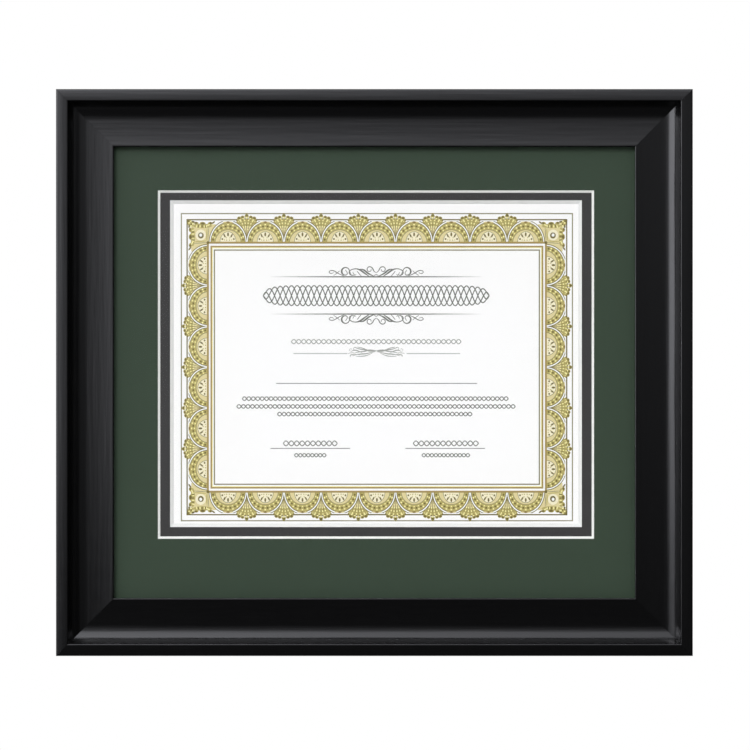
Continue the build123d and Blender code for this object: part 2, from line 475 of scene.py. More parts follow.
@dataclass(frozen=True)
class ClearFilm(Finish):
    """Clear polyester film."""

    name: str = "clear_film"
    colour: Triple = (0.9, 0.92, 0.93)
    roughness: float = 0.15
    clouds_a_metre: float = 300.0
    haze: float = 0.2
    cloud_haze: float = 0.1

    def build(self, recipe: Recipe) -> None:
        """Mostly see-through, with a faint haze that varies over the film."""
        haze = self.haze + self.cloud_haze * recipe.noise(self.clouds_a_metre)
        recipe.principled({"Base Color": (*self.colour, 1.0), "Roughness": self.roughness, "Alpha": haze})


LACQUER = {
    Grain.ALONG_X: SatinLacquer("black_lacquer_across", Grain.ALONG_X),
    Grain.ALONG_Z: SatinLacquer("black_lacquer_upright", Grain.ALONG_Z),
}
BARE_WOOD_EDGE = BoardPaper("mitre_wood", (0.36, 0.24, 0.13))
GREEN_PAPER = BoardPaper("green_mat_paper", (0.0425, 0.0637, 0.0440))
CHARCOAL_PAPER = BoardPaper("charcoal_mat_paper", (0.0500, 0.0485, 0.0500), contrast=0.04)
WHITE_CORE = BoardPaper("white_mat_core", (0.98, 0.98, 0.97), contrast=0.02)
PALE_CORE = BoardPaper("pale_mat_core", (0.87, 0.87, 0.88), contrast=0.02)
SHEET_PAPER = BoardPaper("certificate_stock", (0.98, 0.965, 0.98), contrast=0.01, roughness=0.75)
MOUNT_PAPER = BoardPaper("mount_board_paper", (0.80, 0.79, 0.75), contrast=0.04)
FOAM_BOARD = BoardPaper("foam_board_paper", (0.82, 0.82, 0.82), contrast=0.04)
LINEN_TAPE = BoardPaper("linen_tape", (0.78, 0.76, 0.70), contrast=0.10)
BLACK_STEEL = Metal("blackened_steel", (0.035, 0.035, 0.037), 0.32, metallic=0.6)
ZINC = Metal("zinc_plate", (0.55, 0.55, 0.52), 0.22)
BRASS = Metal("brass_plate", (0.62, 0.45, 0.17), 0.2)
BARE_STEEL = Metal("bare_steel", (0.34, 0.34, 0.35), 0.3)


class Tone(Enum):
    """The inks of the print, in the order of the mesh's material numbers."""

    GOLD = Ink("gold_ink", (0.47, 0.395, 0.125))
    DARK = Ink("dark_gold_ink", (0.155, 0.122, 0.022))
    LIGHT = Ink("light_gold_ink", (0.93, 0.86, 0.42))
    TAN = Ink("tan_ink", (0.73, 0.63, 0.33))
    CREAM = Ink("cream_ink", (0.90, 0.83, 0.62))
    WHITE = Ink("white_ink", (0.97, 0.97, 0.95))
    BROWN = Ink("brown_gold_ink", (0.36, 0.26, 0.075))
    OLIVE = Ink("olive_ink", (0.21, 0.195, 0.095))
    GREY = Ink("grey_ink", (0.125, 0.13, 0.115))
    PALE = Ink("pale_grey_ink", (0.32, 0.33, 0.31))

    @property
    def number(self) -> int:
        """The material number of this ink."""
        return list(Tone).index(self)


# Making meshes


def at(x: float, y: float, z: float) -> Matrix:
    """A move to a point."""
    return Matrix.Translation((x, y, z))


def sized(x: float, y: float, z: float) -> Matrix:
    """A scale along each axis."""
    return Matrix.Diagonal((x, y, z, 1.0))


def put(name: str, data: Any) -> bpy.types.Object:
    """Puts a new object in the scene.

    Args:
        name: its name.
        data: the mesh, lamp or camera that it shows.

    Returns:
        The object.
    """
    made = bpy.data.objects.new(name, data)
    bpy.context.scene.collection.objects.link(made)
    return made


def end_mesh(bm: bmesh.types.BMesh, name: str) -> bpy.types.Mesh:
    """Turns a finished drawing into a mesh and frees the drawing.

    Args:
        bm: the drawing.
        name: the mesh's name.

    Returns:
        The mesh.
    """
    mesh = bpy.data.meshes.new(name)
    bm.to_mesh(mesh)
    bm.free()
    return mesh


def points_in(items: Iterable) -> list:
    """The points among the parts that an operator hands back."""
    return [item for item in items if isinstance(item, bmesh.types.BMVert)]


def extrude_faces(bm: bmesh.types.BMesh, faces: Iterable, move: Vector) -> None:
    """Pulls flat faces out into closed solids.

    Args:
        bm: the mesh.
        faces: the faces to pull.
        move: how far and which way.
    """
    result = bmesh.ops.extrude_face_region(bm, geom=list(faces), use_keep_orig=True)
    bmesh.ops.translate(bm, vec=move, verts=points_in(result["geom"]))


def slice_mesh(bm: bmesh.types.BMesh, point: Sequence, normal: Sequence, clear: bool = False) -> None:
    """Cuts a whole mesh along a plane.

    Args:
        bm: the mesh.
        point: a point of the plane.
        normal: the plane's normal.
        clear: whether the side that the normal points to goes away.
    """
    geometry = bm.verts[:] + bm.edges[:] + bm.faces[:]
    bmesh.ops.bisect_plane(bm, geom=geometry, plane_co=point, plane_no=normal, clear_outer=clear, dist=WELD)


def sharp_edges(bm: bmesh.types.BMesh, angle: float) -> list:
    """The edges whose two faces meet at more than an angle."""
    return [e for e in bm.edges if len(e.link_faces) == 2 and e.calc_face_angle(0.0) > angle]


def soften(bm: bmesh.types.BMesh, edges: Iterable, offset: float, segments: int = 2) -> None:
    """Rounds edges over.

    Args:
        bm: the mesh.
        edges: the edges.
        offset: how far from the edge the rounding starts.
        segments: how many flats it has.
    """
    bmesh.ops.bevel(
        bm, geom=list(edges), offset=offset, segments=segments, profile=0.5, affect="EDGES", material=-1,
        clamp_overlap=True,
    )


def outside() -> tuple[Vector, Vector]:
    """The lower left front corner and the upper right back corner of the four rails' box."""
    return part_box("rail_left")[0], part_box("rail_right")[1]


class Workshop:
    """Turns finished meshes into pieces of the object, and reports each one."""

    def piece(
        self,
        bm: bmesh.types.BMesh,
        name: str,
        finishes: Sequence[Finish],
        slot: str,
        body: str = ROOT,
        replaces: Iterable[str] = (),
        recalculate: bool = True,
        smooth_degrees: float = 35.0,
    ) -> bpy.types.Object:
        """Makes an object from a mesh and ties it to its body.

        Args:
            bm: the mesh, which is freed.
            name: the piece's name.
            finishes: its finishes, in the order of the faces' material numbers.
            slot: the record's material slot, which is not used.
            body: the body that it rides on.
            replaces: the CAD nodes that it stands for.
            recalculate: whether the normals are worked out again.
            smooth_degrees: the angle between faces above which an edge stays sharp.

        Returns:
            The new object.
        """
        if recalculate:
            bmesh.ops.recalc_face_normals(bm, faces=bm.faces)
        mesh = end_mesh(bm, name)
        mesh.shade_smooth()
        mesh.set_sharp_from_angle(angle=radians(smooth_degrees))
        for finish in finishes:
            mesh.materials.append(finish.material())
        piece = put(name, mesh)
        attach(piece, body)
        nodes = list(replaces)
        if nodes:
            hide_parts(*nodes)
        log.info("%s: %d faces on %s", name, len(mesh.polygons), body)
        return piece

    def dress(self, node: str, finish: Finish) -> None:
        """Gives a CAD node that stays in view its material.

        Args:
            node: the CAD node.
            finish: its finish.
        """
        slots = frame["nodes"][node].data.materials
        slots.clear()
        slots.append(finish.material())
        log.info("%s: CAD node dressed in %s", node, finish.name)

    def slab(self, node: str, edge: float, gap: float = 0.0) -> bmesh.types.BMesh:
        """A flat board in a node's place, with its edges eased.

        Args:
            node: the CAD node whose box it fills.
            edge: how much its edges are rounded.
            gap: how far each side stays inside the box.

        Returns:
            The mesh.
        """
        low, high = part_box(node)
        size = high - low
        bm = bmesh.new()
        bmesh.ops.create_cube(bm, size=1.0)
        bmesh.ops.scale(bm, vec=(size.x - 2 * gap, size.y - 2 * gap, size.z - 2 * gap), verts=bm.verts)
        bmesh.ops.translate(bm, vec=(low + high) / 2, verts=bm.verts)
        if edge:
            soften(bm, bm.edges, edge)
        return bm


SHOP = Workshop()


# The moulding


@dataclass
class Moulding:
    """Four mitred lengths of scooped moulding, with the section of the CAD rails and smooth curves.

    The section is drawn in u, inwards from the outer edge, and v, forwards from the back face.
    """

    rail_width: float = 36.8 * MM
    rim_width: float = 7.7 * MM
    rabbet_width: float = 6.0 * MM
    lip_wall: float = 4.2 * MM
    sight_arris: float = 0.8 * MM
    inner_arris: float = 0.8 * MM
    outer_arris: float = 1.0 * MM
    cove_radius: float = 11.3 * MM
    crown_inner_fall: float = 3.5
    crown_outer_fall: float = 11.0
    wall_slope: float = 82.0
    run_foot_rise: float = 4.0
    run_sight_rise: float = 10.0
    arc_steps: int = 24
    arris_steps: int = 8
    mitre_line: float = 0.05 * MM
    mitre_facing: float = 0.68
    smooth_degrees: float = 18.0

    def __post_init__(self) -> None:
        """Works out the radii that close the section, as the CAD section does."""
        wall = sin(radians(self.wall_slope))
        inner, outer = sin(radians(self.crown_inner_fall)), sin(radians(self.crown_outer_fall))
        foot, rise = sin(radians(self.run_foot_rise)), sin(radians(self.run_sight_rise))
        inner_run = self.inner_arris * (wall + inner)
        outer_run = self.outer_arris * (1 - outer)
        self.crown_radius = (self.rim_width - inner_run - outer_run) / (outer - inner)
        cove_run = self.cove_radius * (wall + foot)
        run = self.rail_width - self.rim_width - cove_run - self.sight_arris * (1 + rise)
        self.run_radius = run / (rise - foot)
        self.back_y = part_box("rail_top")[1].y
        self.rabbet_depth = self.back_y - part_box("glass_pane")[0].y

    def section(self, bm: bmesh.types.BMesh) -> bmesh.types.BMFace:
        """Draws the section as one face, with u along Z and v along -Y.

        Args:
            bm: the mesh to draw in.

        Returns:
            The face.
        """
        start = (self.rail_width, self.rabbet_depth + self.lip_wall)
        first = bm.verts.new(self.spot(*start))
        self.heading = 90.0
        last = first
        turns = (
            (self.sight_arris, 90 + self.run_sight_rise, self.arris_steps),
            (self.run_radius, self.run_foot_rise - self.run_sight_rise, self.arc_steps),
            (self.cove_radius, -(self.wall_slope + self.run_foot_rise), self.arc_steps),
            (self.inner_arris, self.wall_slope + self.crown_inner_fall, self.arris_steps),
            (self.crown_radius, self.crown_outer_fall - self.crown_inner_fall, self.arc_steps // 2),
            (self.outer_arris, 90 - self.crown_outer_fall, self.arris_steps),
        )
        for radius, angle, steps in turns:
            last = self.turn(bm, last, radius, angle, steps)
        corners = (
            (0.0, 0.0),
            (self.rail_width - self.rabbet_width, 0.0),
            (self.rail_width - self.rabbet_width, self.rabbet_depth),
            (self.rail_width, self.rabbet_depth),
        )
        for corner in corners:
            last = bmesh.ops.extrude_vert_indiv(bm, verts=[last])["verts"][0]
            last.co = self.spot(*corner)
        bmesh.ops.contextual_create(bm, geom=[first, last])
        bmesh.ops.contextual_create(bm, geom=bm.edges)
        return bm.faces[:][0]

    @staticmethod
    def spot(u: float, v: float) -> Vector:
        """A point of the section in space."""
        return Vector((0.0, -v, u))

    def turn(self, bm: bmesh.types.BMesh, vert: Any, radius: float, angle: float, steps: int) -> Any:
        """Draws an arc that carries on from a point in the heading that the last one ended in.

        Args:
            bm: the mesh.
            vert: the point to start from.
            radius: the arc's radius.
            angle: degrees turned, to the left if positive.
            steps: the number of chords.

        Returns:
            The last point.
        """
        side = 1 if angle > 0 else -1
        heading = radians(self.heading)
        u, v = vert.co.z, -vert.co.y
        centre = self.spot(u - side * radius * sin(heading), v + side * radius * cos(heading))
        arc = bmesh.ops.spin(
            bm, geom=[vert], cent=centre, axis=(1, 0, 0), angle=radians(angle), steps=steps, use_merge=False
        )
        self.heading += angle
        return points_in(arc["geom_last"])[0]

    def rail(self, name: str, length: float, matrix: Matrix, grain: Grain) -> bpy.types.Object:
        """Builds one rail and puts it in its place.

        Args:
            name: the CAD node that it stands for.
            length: its outer length.
            matrix: carries it from the X axis to its place.
            grain: the way that its grain runs.

        Returns:
            The piece.
        """
        bm = bmesh.new()
        face = self.section(bm)
        bmesh.ops.translate(bm, vec=(-length / 2, 0, 0), verts=bm.verts)
        extrude_faces(bm, [face], Vector((length, 0, 0)))
        bmesh.ops.recalc_face_normals(bm, faces=bm.faces)
        for side in (-1, 1):
            slice_mesh(bm, (side * length / 2, 0, 0), (side, 0, 1), clear=True)
        caps = bmesh.ops.holes_fill(bm, edges=bm.edges, sides=0)["faces"]
        soften(bm, {edge for cap in caps for edge in cap.edges}, self.mitre_line, 1)
        for face in bm.faces:
            face.material_index = int(min(abs(face.normal.x), abs(face.normal.z)) > self.mitre_facing)
        bmesh.ops.transform(bm, matrix=matrix, verts=bm.verts)
        return SHOP.piece(
            bm, "lacquered_" + name, [LACQUER[grain], BARE_WOOD_EDGE], "black_moulding", replaces=[name],
            smooth_degrees=self.smooth_degrees,
        )

    def build(self) -> None:
        """Builds the four rails in the places of the CAD ones."""
        low, high = outside()
        width, height = high.x - low.x, high.z - low.z
        middle_x, middle_z = (low.x + high.x) / 2, (low.z + high.z) / 2
        rails = (
            ("rail_bottom", width, 0, (middle_x, low.z), Grain.ALONG_X),
            ("rail_top", width, 180, (middle_x, high.z), Grain.ALONG_X),
            ("rail_left", height, 90, (low.x, middle_z), Grain.ALONG_Z),
            ("rail_right", height, -90, (high.x, middle_z), Grain.ALONG_Z),
        )
        for name, length, turn, (x, z), grain in rails:
            matrix = at(x, self.back_y, z) @ Matrix.Rotation(radians(turn), 4, "Y")
            self.rail(name, length, matrix, grain)


# Glass, mats and boards


@dataclass
class Window:
    """The opening of a mat, at its front face."""

    left: float
    right: float
    bottom: float
    top: float

    def cuts(self, front_y: float) -> list[tuple[Vector, Vector]]:
        """The four planes of the bevel.

        Args:
            front_y: the board's front face.

        Returns:
            Each plane as a point and a normal that points into the board.
        """
        return [
            (Vector((self.left, front_y, 0)), Vector((1, -1, 0))),
            (Vector((self.right, front_y, 0)), Vector((1, 1, 0))),
            (Vector((0, front_y, self.bottom)), Vector((0, -1, 1))),
            (Vector((0, front_y, self.top)), Vector((0, 1, 1))),
        ]

    def holds(self, point: Vector, grow: float) -> bool:
        """Whether a point lies in the opening grown by a length."""
        across = self.left - grow < point.x < self.right + grow
        return across and self.bottom - grow < point.z < self.top + grow


@dataclass
class Mats:
    """Two mat boards with bevelled windows that show their white cores."""

    reveal_side: float = 6.3 * MM
    reveal_top: float = 4.8 * MM
    reveal_bottom: float = 6.0 * MM
    lap_side: float = 9.85 * MM
    lap_end: float = 5.35 * MM
    edge: float = 0.10 * MM
    core_facing: float = 0.5

    def windows(self) -> tuple[Window, Window]:
        """Works the windows out from the sheet, as the CAD part does.

        Returns:
            The lower and the upper mat's window.
        """
        low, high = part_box("certificate_sheet")
        lower_thickness, upper_thickness = self.thickness("lower_mat"), self.thickness("upper_mat")
        lower = Window(
            low.x + self.lap_side - lower_thickness,
            high.x - self.lap_side + lower_thickness,
            low.z + self.lap_end - lower_thickness,
            high.z - self.lap_end + lower_thickness,
        )
        upper = Window(
            lower.left - self.reveal_side - upper_thickness,
            lower.right + self.reveal_side + upper_thickness,
            lower.bottom - self.reveal_bottom - upper_thickness,
            lower.top + self.reveal_top + upper_thickness,
        )
        return lower, upper

    @staticmethod
    def thickness(node: str) -> float:
        """A board's thickness."""
        low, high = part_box(node)
        return high.y - low.y

    def mat(self, node: str, window: Window, paper: Finish, core: Finish, slot: str) -> None:
        """Builds one mat.

        Args:
            node: the CAD node that it stands for.
            window: its opening at the front face.
            paper: the facing paper.
            core: the board under the paper, bare at the bevel.
            slot: the record's slot.
        """
        bm = SHOP.slab(node, 0.0)
        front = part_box(node)[0].y
        thickness = self.thickness(node)
        close = thickness / 4
        for point, normal in window.cuts(front):
            slice_mesh(bm, point, normal)
        inside = []
        for face in bm.faces:
            middle = face.calc_center_median()
            flat = min(abs(middle.y - front), abs(middle.y - front - thickness)) < close
            if flat and window.holds(middle, -2 * thickness):
                inside.append(face)
        bmesh.ops.delete(bm, geom=inside, context="FACES_ONLY")
        loop = [edge for edge in bm.edges if len(edge.link_faces) == 1]
        for face in bmesh.ops.bridge_loops(bm, edges=loop)["faces"]:
            face.material_index = 1
        arris = [e for e in bm.edges if len({f.material_index for f in e.link_faces}) == 2]
        soften(bm, [e for e in arris if abs(e.verts[0].co.y - front) < close], self.edge)
        bmesh.ops.recalc_face_normals(bm, faces=bm.faces)
        for face in bm.faces:
            if abs(face.normal.y) < self.core_facing:
                face.material_index = 1
        SHOP.piece(bm, "papered_" + node, [paper, core], slot, replaces=[node])

    def build(self) -> None:
        """Builds both mats."""
        lower, upper = self.windows()
        self.mat("upper_mat", upper, GREEN_PAPER, WHITE_CORE, "green_mat")
        self.mat("lower_mat", lower, CHARCOAL_PAPER, PALE_CORE, "charcoal_mat")


@dataclass
class Package:
    """The flat layers behind the lip: glass, sheet, boards, and what is hidden between them."""

    glass_edge: float = 0.3 * MM
    glass_gap: float = 0.02 * MM
    board_edge: float = 0.35 * MM

    def build(self) -> None:
        """Builds the glass, the sheet and the backing, and dresses the hidden layers."""
        glass = SHOP.slab("glass_pane", self.glass_edge, self.glass_gap)
        SHOP.piece(glass, "clear_glass_pane", [PictureGlass()], "glass", replaces=["glass_pane"])
        sheet = SHOP.slab("certificate_sheet", 0.0)
        SHOP.piece(
            sheet, "certificate_stock_sheet", [SHEET_PAPER], "certificate_paper",
            replaces=["certificate_sheet"],
        )
        backing = SHOP.slab("backing_board", self.board_edge)
        SHOP.piece(backing, "hardboard_back", [Hardboard()], "hardboard", replaces=["backing_board"])
        SHOP.dress("mount_board", MOUNT_PAPER)
        SHOP.dress("filler_board", FOAM_BOARD)
        SHOP.dress("mat_hinge_tape", LINEN_TAPE)
        for node in frame["nodes"]:
            if node.startswith("corner_pocket"):
                SHOP.dress(node, ClearFilm())


# The print on the sheet


class Die:
    """A motif that is cut once and stamped many times.

    It is drawn in millimetres, with X along the border and Y outwards. Z counts layers of ink.
    """

    def __init__(self) -> None:
        """Starts with a blank die."""
        self.bm = bmesh.new()

    def ink(self, verts: Sequence, tone: Tone, level: int) -> None:
        """Gives a flat new shape its ink and the thickness of one layer.

        Args:
            verts: the shape's points.
            tone: its ink.
            level: how many layers of ink lie under it.
        """
        faces = {face for vert in verts for face in vert.link_faces}
        extrude_faces(self.bm, faces, Vector((0, 0, 1)))
        points, queue = set(verts), list(verts)
        while queue:
            for edge in queue.pop().link_edges:
                for vert in edge.verts:
                    if vert not in points:
                        points.add(vert)
                        queue.append(vert)
        for vert in points:
            for face in vert.link_faces:
                face.material_index = tone.number
        bmesh.ops.translate(self.bm, vec=(0, 0, level), verts=list(points))

    def ellipse(
        self,
        x: float,
        y: float,
        across: float,
        up: float,
        tone: Tone,
        level: int = 0,
        turn: float = 0.0,
        segments: int = 10,
    ) -> None:
        """A filled ellipse.

        Args:
            x: its middle along the border.
            y: its middle outwards.
            across: half its width.
            up: half its height.
            tone: its ink.
            level: how many layers of ink lie under it.
            turn: how far it is turned, in degrees.
            segments: how many sides it has.
        """
        matrix = at(x, y, 0) @ Matrix.Rotation(radians(turn), 4, "Z") @ sized(across, up, 1.0)
        made = bmesh.ops.create_circle(self.bm, cap_ends=True, segments=segments, radius=1.0, matrix=matrix)
        self.ink(made["verts"], tone, level)

    def half_ellipse(self, across: float, up: float, tone: Tone, level: int, segments: int) -> None:
        """The upper half of a filled ellipse about the origin.

        Args:
            across: half its width.
            up: its height.
            tone: its ink.
            level: how many layers of ink lie under it.
            segments: how many sides the whole ellipse has.
        """
        matrix = sized(across, up, 1.0)
        made = bmesh.ops.create_circle(self.bm, cap_ends=True, segments=segments, radius=1.0, matrix=matrix)
        verts = made["verts"]
        edges = {edge for vert in verts for edge in vert.link_edges}
        faces = {face for vert in verts for face in vert.link_faces}
        cut = bmesh.ops.bisect_plane(
            self.bm, geom=[*verts, *edges, *faces], plane_co=(0, 0, 0), plane_no=(0, -1, 0), clear_outer=True,
            dist=NEAR,
        )
        kept = {vert for vert in points_in(cut["geom"]) if vert.is_valid} | set(points_in(cut["geom_cut"]))
        self.ink(list(kept), tone, level)

    def bar(self, x: float, y: float, width: float, height: float, tone: Tone, level: int = 0) -> None:
        """A filled rectangle.

        Args:
            x: its middle along the border.
            y: its middle outwards.
            width: its width.
            height: its height.
            tone: its ink.
            level: how many layers of ink lie under it.
        """
        matrix = at(x, y, 0) @ sized(width / 2, height / 2, 1.0)
        made = bmesh.ops.create_grid(self.bm, x_segments=1, y_segments=1, size=1.0, matrix=matrix)
        self.ink(made["verts"], tone, level)

    def rule_box(self, width: float, height: float, line: float, tone: Tone, level: int = 0) -> None:
        """A ruled rectangle about the origin.

        Args:
            width: its width, between the middles of its lines.
            height: its height, between the same.
            line: the thickness of a line.
            tone: its ink.
            level: how many layers of ink lie under it.
        """
        matrix = sized((width + line) / 2, (height + line) / 2, 1.0)
        made = bmesh.ops.create_grid(self.bm, x_segments=1, y_segments=1, size=1.0, matrix=matrix)
        face = made["verts"][0].link_faces[0]
        ring = bmesh.ops.inset_individual(self.bm, faces=[face], thickness=line, use_even_offset=True)
        bmesh.ops.delete(self.bm, geom=[face], context="FACES_ONLY")
        verts = {vert for item in ring["faces"] for vert in item.verts}
        self.ink(list(verts), tone, level)

    def cut(self, name: str) -> bpy.types.Mesh:
        """Ends the die as a mesh."""
        return end_mesh(self.bm, name)


@dataclass
class Press:
    """Lays inked motifs on the sheet. Drawings are in millimetres about the middle of the print.

    The shift is how far that middle lies to the right of the sheet's, and the drop how far below it.
    """

    layer: float = 0.015 * MM
    shift: float = 0.15 * MM
    drop: float = 2.25 * MM

    def __post_init__(self) -> None:
        """Finds the face of the sheet."""
        low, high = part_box("certificate_sheet")
        self.face_y = low.y
        self.middle = ((low.x + high.x) / 2 + self.shift, (low.z + high.z) / 2 - self.drop)
        self.bm = bmesh.new()

    def to_sheet(self) -> Matrix:
        """The place of the drawing on the sheet.

        Returns:
            What carries flat drawing, with X right and Y up in millimetres, to the sheet's face.
        """
        x, z = self.middle
        upright = Matrix(((1, 0, 0, 0), (0, 0, -1, 0), (0, 1, 0, 0), (0, 0, 0, 1)))
        return at(x, self.face_y, z) @ upright @ sized(MM, MM, self.layer)

    def stamp(self, die: bpy.types.Mesh, place: Matrix) -> None:
        """Prints a die once.

        Args:
            die: the motif.
            place: carries it to its place in the drawing.
        """
        print_mesh = die.copy()
        print_mesh.transform(self.to_sheet() @ place)
        self.bm.from_mesh(print_mesh)
        bpy.data.meshes.remove(print_mesh)

    def finish(self, name: str) -> None:
        """Ends the print as one piece."""
        SHOP.piece(self.bm, name, [tone.value for tone in Tone], "certificate_paper")


@dataclass
class LaceBorder:
    """The traditional gold lace border: half-round fans, palmettes between them and leafy corners.

    Sizes are in millimetres, but for the shift. A rule is its width and height, between the middles
    of its lines, and the thickness of a line.
    """

    shift: float = 0.6 * MM
    outer_rule: Triple = (250.95, 197.1, 0.68)
    second_rule: Triple = (243.6, 189.3, 0.8)
    base_rule: Triple = (216.95, 159.85, 1.2)
    inner_rule: Triple = (212.55, 154.75, 1.05)
    light_rule: Triple = (210.9, 153.1, 0.5)
    thin_rule: Triple = (208.55, 150.3, 0.78)
    fans_across: int = 9
    pitch_across: float = 23.88
    fans_upright: int = 6
    pitch_upright: float = 26.19
    fan_reach: float = 11.25
    fan_rise: float = 13.15
    fan_line: float = 0.42
    bead_count: int = 10
    bead_first: float = 10.5
    stalk_foot: float = 4.1
    crown_top: float = 18.3

    def fan(self) -> bpy.types.Mesh:
        """Cuts one fan, round side up on the origin, inside a white gap and a thin line.

        Returns:
            The fan's die.
        """
        die = Die()
        reach, rise = self.fan_reach, self.fan_rise
        gap = self.pitch_across / 2 - 0.01
        rings = (
            (gap + 0.48, rise + 1.32, Tone.DARK, 3, 56),
            (gap, rise + 0.85, Tone.WHITE, 4, 56),
            (reach, rise, Tone.DARK, 5, 56),
            (reach - self.fan_line, rise - self.fan_line, Tone.GOLD, 6, 56),
            (8.45, 8.35, Tone.OLIVE, 7, 44),
            (8.15, 8.05, Tone.TAN, 8, 44),
            (5.35, 7.2, Tone.OLIVE, 9, 36),
            (5.05, 6.9, Tone.CREAM, 10, 36),
        )
        for ring in rings:
            die.half_ellipse(*ring)
        self.beads(die)
        die.ellipse(0.0, rise + 0.78, 4.9, 0.42, Tone.WHITE, 5, 0.0, 20)
        die.ellipse(0.0, rise - 0.1, 1.25, 0.7, Tone.BROWN, 8, 0.0, 12)
        die.ellipse(0.0, rise - 0.15, 0.6, 0.35, Tone.DARK, 9, 0.0, 8)
        die.ellipse(0.0, 5.3, 0.6, 1.35, Tone.DARK, 11, 0.0, 10)
        for side in (-1, 1):
            die.ellipse(2.3 * side, 4.5, 0.5, 1.3, Tone.DARK, 11, -26 * side, 10)
            die.ellipse(3.7 * side, 2.3, 0.6, 0.65, Tone.DARK, 11, 0.0, 8)
            die.ellipse(1.15 * side, 3.3, 0.24, 0.8, Tone.GOLD, 11, -14 * side, 6)
            die.ellipse(0.9 * side, 1.6, 0.42, 0.42, Tone.GOLD, 11, 0.0, 8)
            die.ellipse(2.3 * side, 1.7, 0.36, 0.36, Tone.GOLD, 11, 0.0, 8)
            die.ellipse(1.9 * side, rise - 0.05, 1.5, 0.42, Tone.TAN, 7, -9 * side, 10)
        return die.cut("fan_die")

    def beads(self, die: Die) -> None:
        """The row of dark beads in a fan's band, with two pale spots in each gap between them.

        Args:
            die: the fan's die.
        """
        spread = (180 - 2 * self.bead_first) / (self.bead_count - 1)
        beads = ((9.8, 10.5, 0.72, 0.62, Tone.DARK, 10),)
        spots = ((10.35, 11.55, 0.62, 0.5, Tone.LIGHT, 8), (9.0, 9.45, 0.52, 0.42, Tone.LIGHT, 8))
        for half_step in range(2 * self.bead_count - 1):
            degrees = self.bead_first + half_step / 2 * spread
            angle = radians(degrees)
            marks = spots if half_step % 2 else beads
            for across, up, wide, tall, tone, segments in marks:
                x, y = across * cos(angle), up * sin(angle)
                die.ellipse(x, y, wide, tall, tone, 7, degrees - 90, segments)

    def palmette(self) -> bpy.types.Mesh:
        """Cuts the leaf between two fans, whose crown reaches over the second rule.

        Returns:
            The leaf's die.
        """
        die = Die()
        foot, top = self.stalk_foot, self.crown_top
        die.bar(0.0, foot + 4.2, 8.6, 8.4, Tone.TAN)
        die.ellipse(0.0, top - 5.3, 6.5, 2.6, Tone.GOLD, 1, 0.0, 24)
        veins = ((-39, 9.6), (-26, 9.9), (-13, 10.2), (0, 10.6), (13, 10.2), (26, 9.9), (39, 9.6))
        for spread, reach in veins:
            angle = radians(spread)
            x, y = sin(angle) * reach / 2, foot + cos(angle) * reach / 2
            die.ellipse(x, y, 0.17, reach / 2, Tone.DARK, 1, -spread, 8)
        for reach, spreads in ((4.3, (9,)), (6.3, (7, 20)), (8.4, (6.5, 19, 32))):
            for spread, side in product(spreads, (-1, 1)):
                angle = radians(side * spread)
                x, y = sin(angle) * reach, foot + cos(angle) * reach
                die.ellipse(x, y, 0.055 * reach, 0.6, Tone.LIGHT, 2, -side * spread, 8)
        lobes = ((-6.0, -4.1, 0.8), (-4.75, -2.9, 1.4), (-2.6, -2.2, 1.25))
        middle = ((0.0, -1.3, 1.35), (0.0, 0.0, 0.75))
        for x, y, size in lobes + tuple((-x, y, size) for x, y, size in lobes) + middle:
            die.ellipse(x, top + y, size, size, Tone.GOLD, 2, 0.0, 14)
            die.ellipse(1.05 * x, top + y + 0.25 * size, 0.62 * size, 0.5 * size, Tone.DARK, 3, 0.0, 10)
            die.ellipse(0.88 * x, top + y - 0.65 * size, 0.45 * size, 0.36 * size, Tone.LIGHT, 3, 0.0, 8)
        for x, drop in ((-3.7, 4.6), (-1.25, 4.0), (1.25, 4.0), (3.7, 4.6)):
            die.ellipse(x, top - drop, 0.42, 0.6, Tone.LIGHT, 3, -5 * x, 8)
            die.ellipse(0.7 * x, top - drop + 0.9, 0.36, 0.5, Tone.DARK, 3, -5 * x, 8)
        return die.cut("palmette_die")

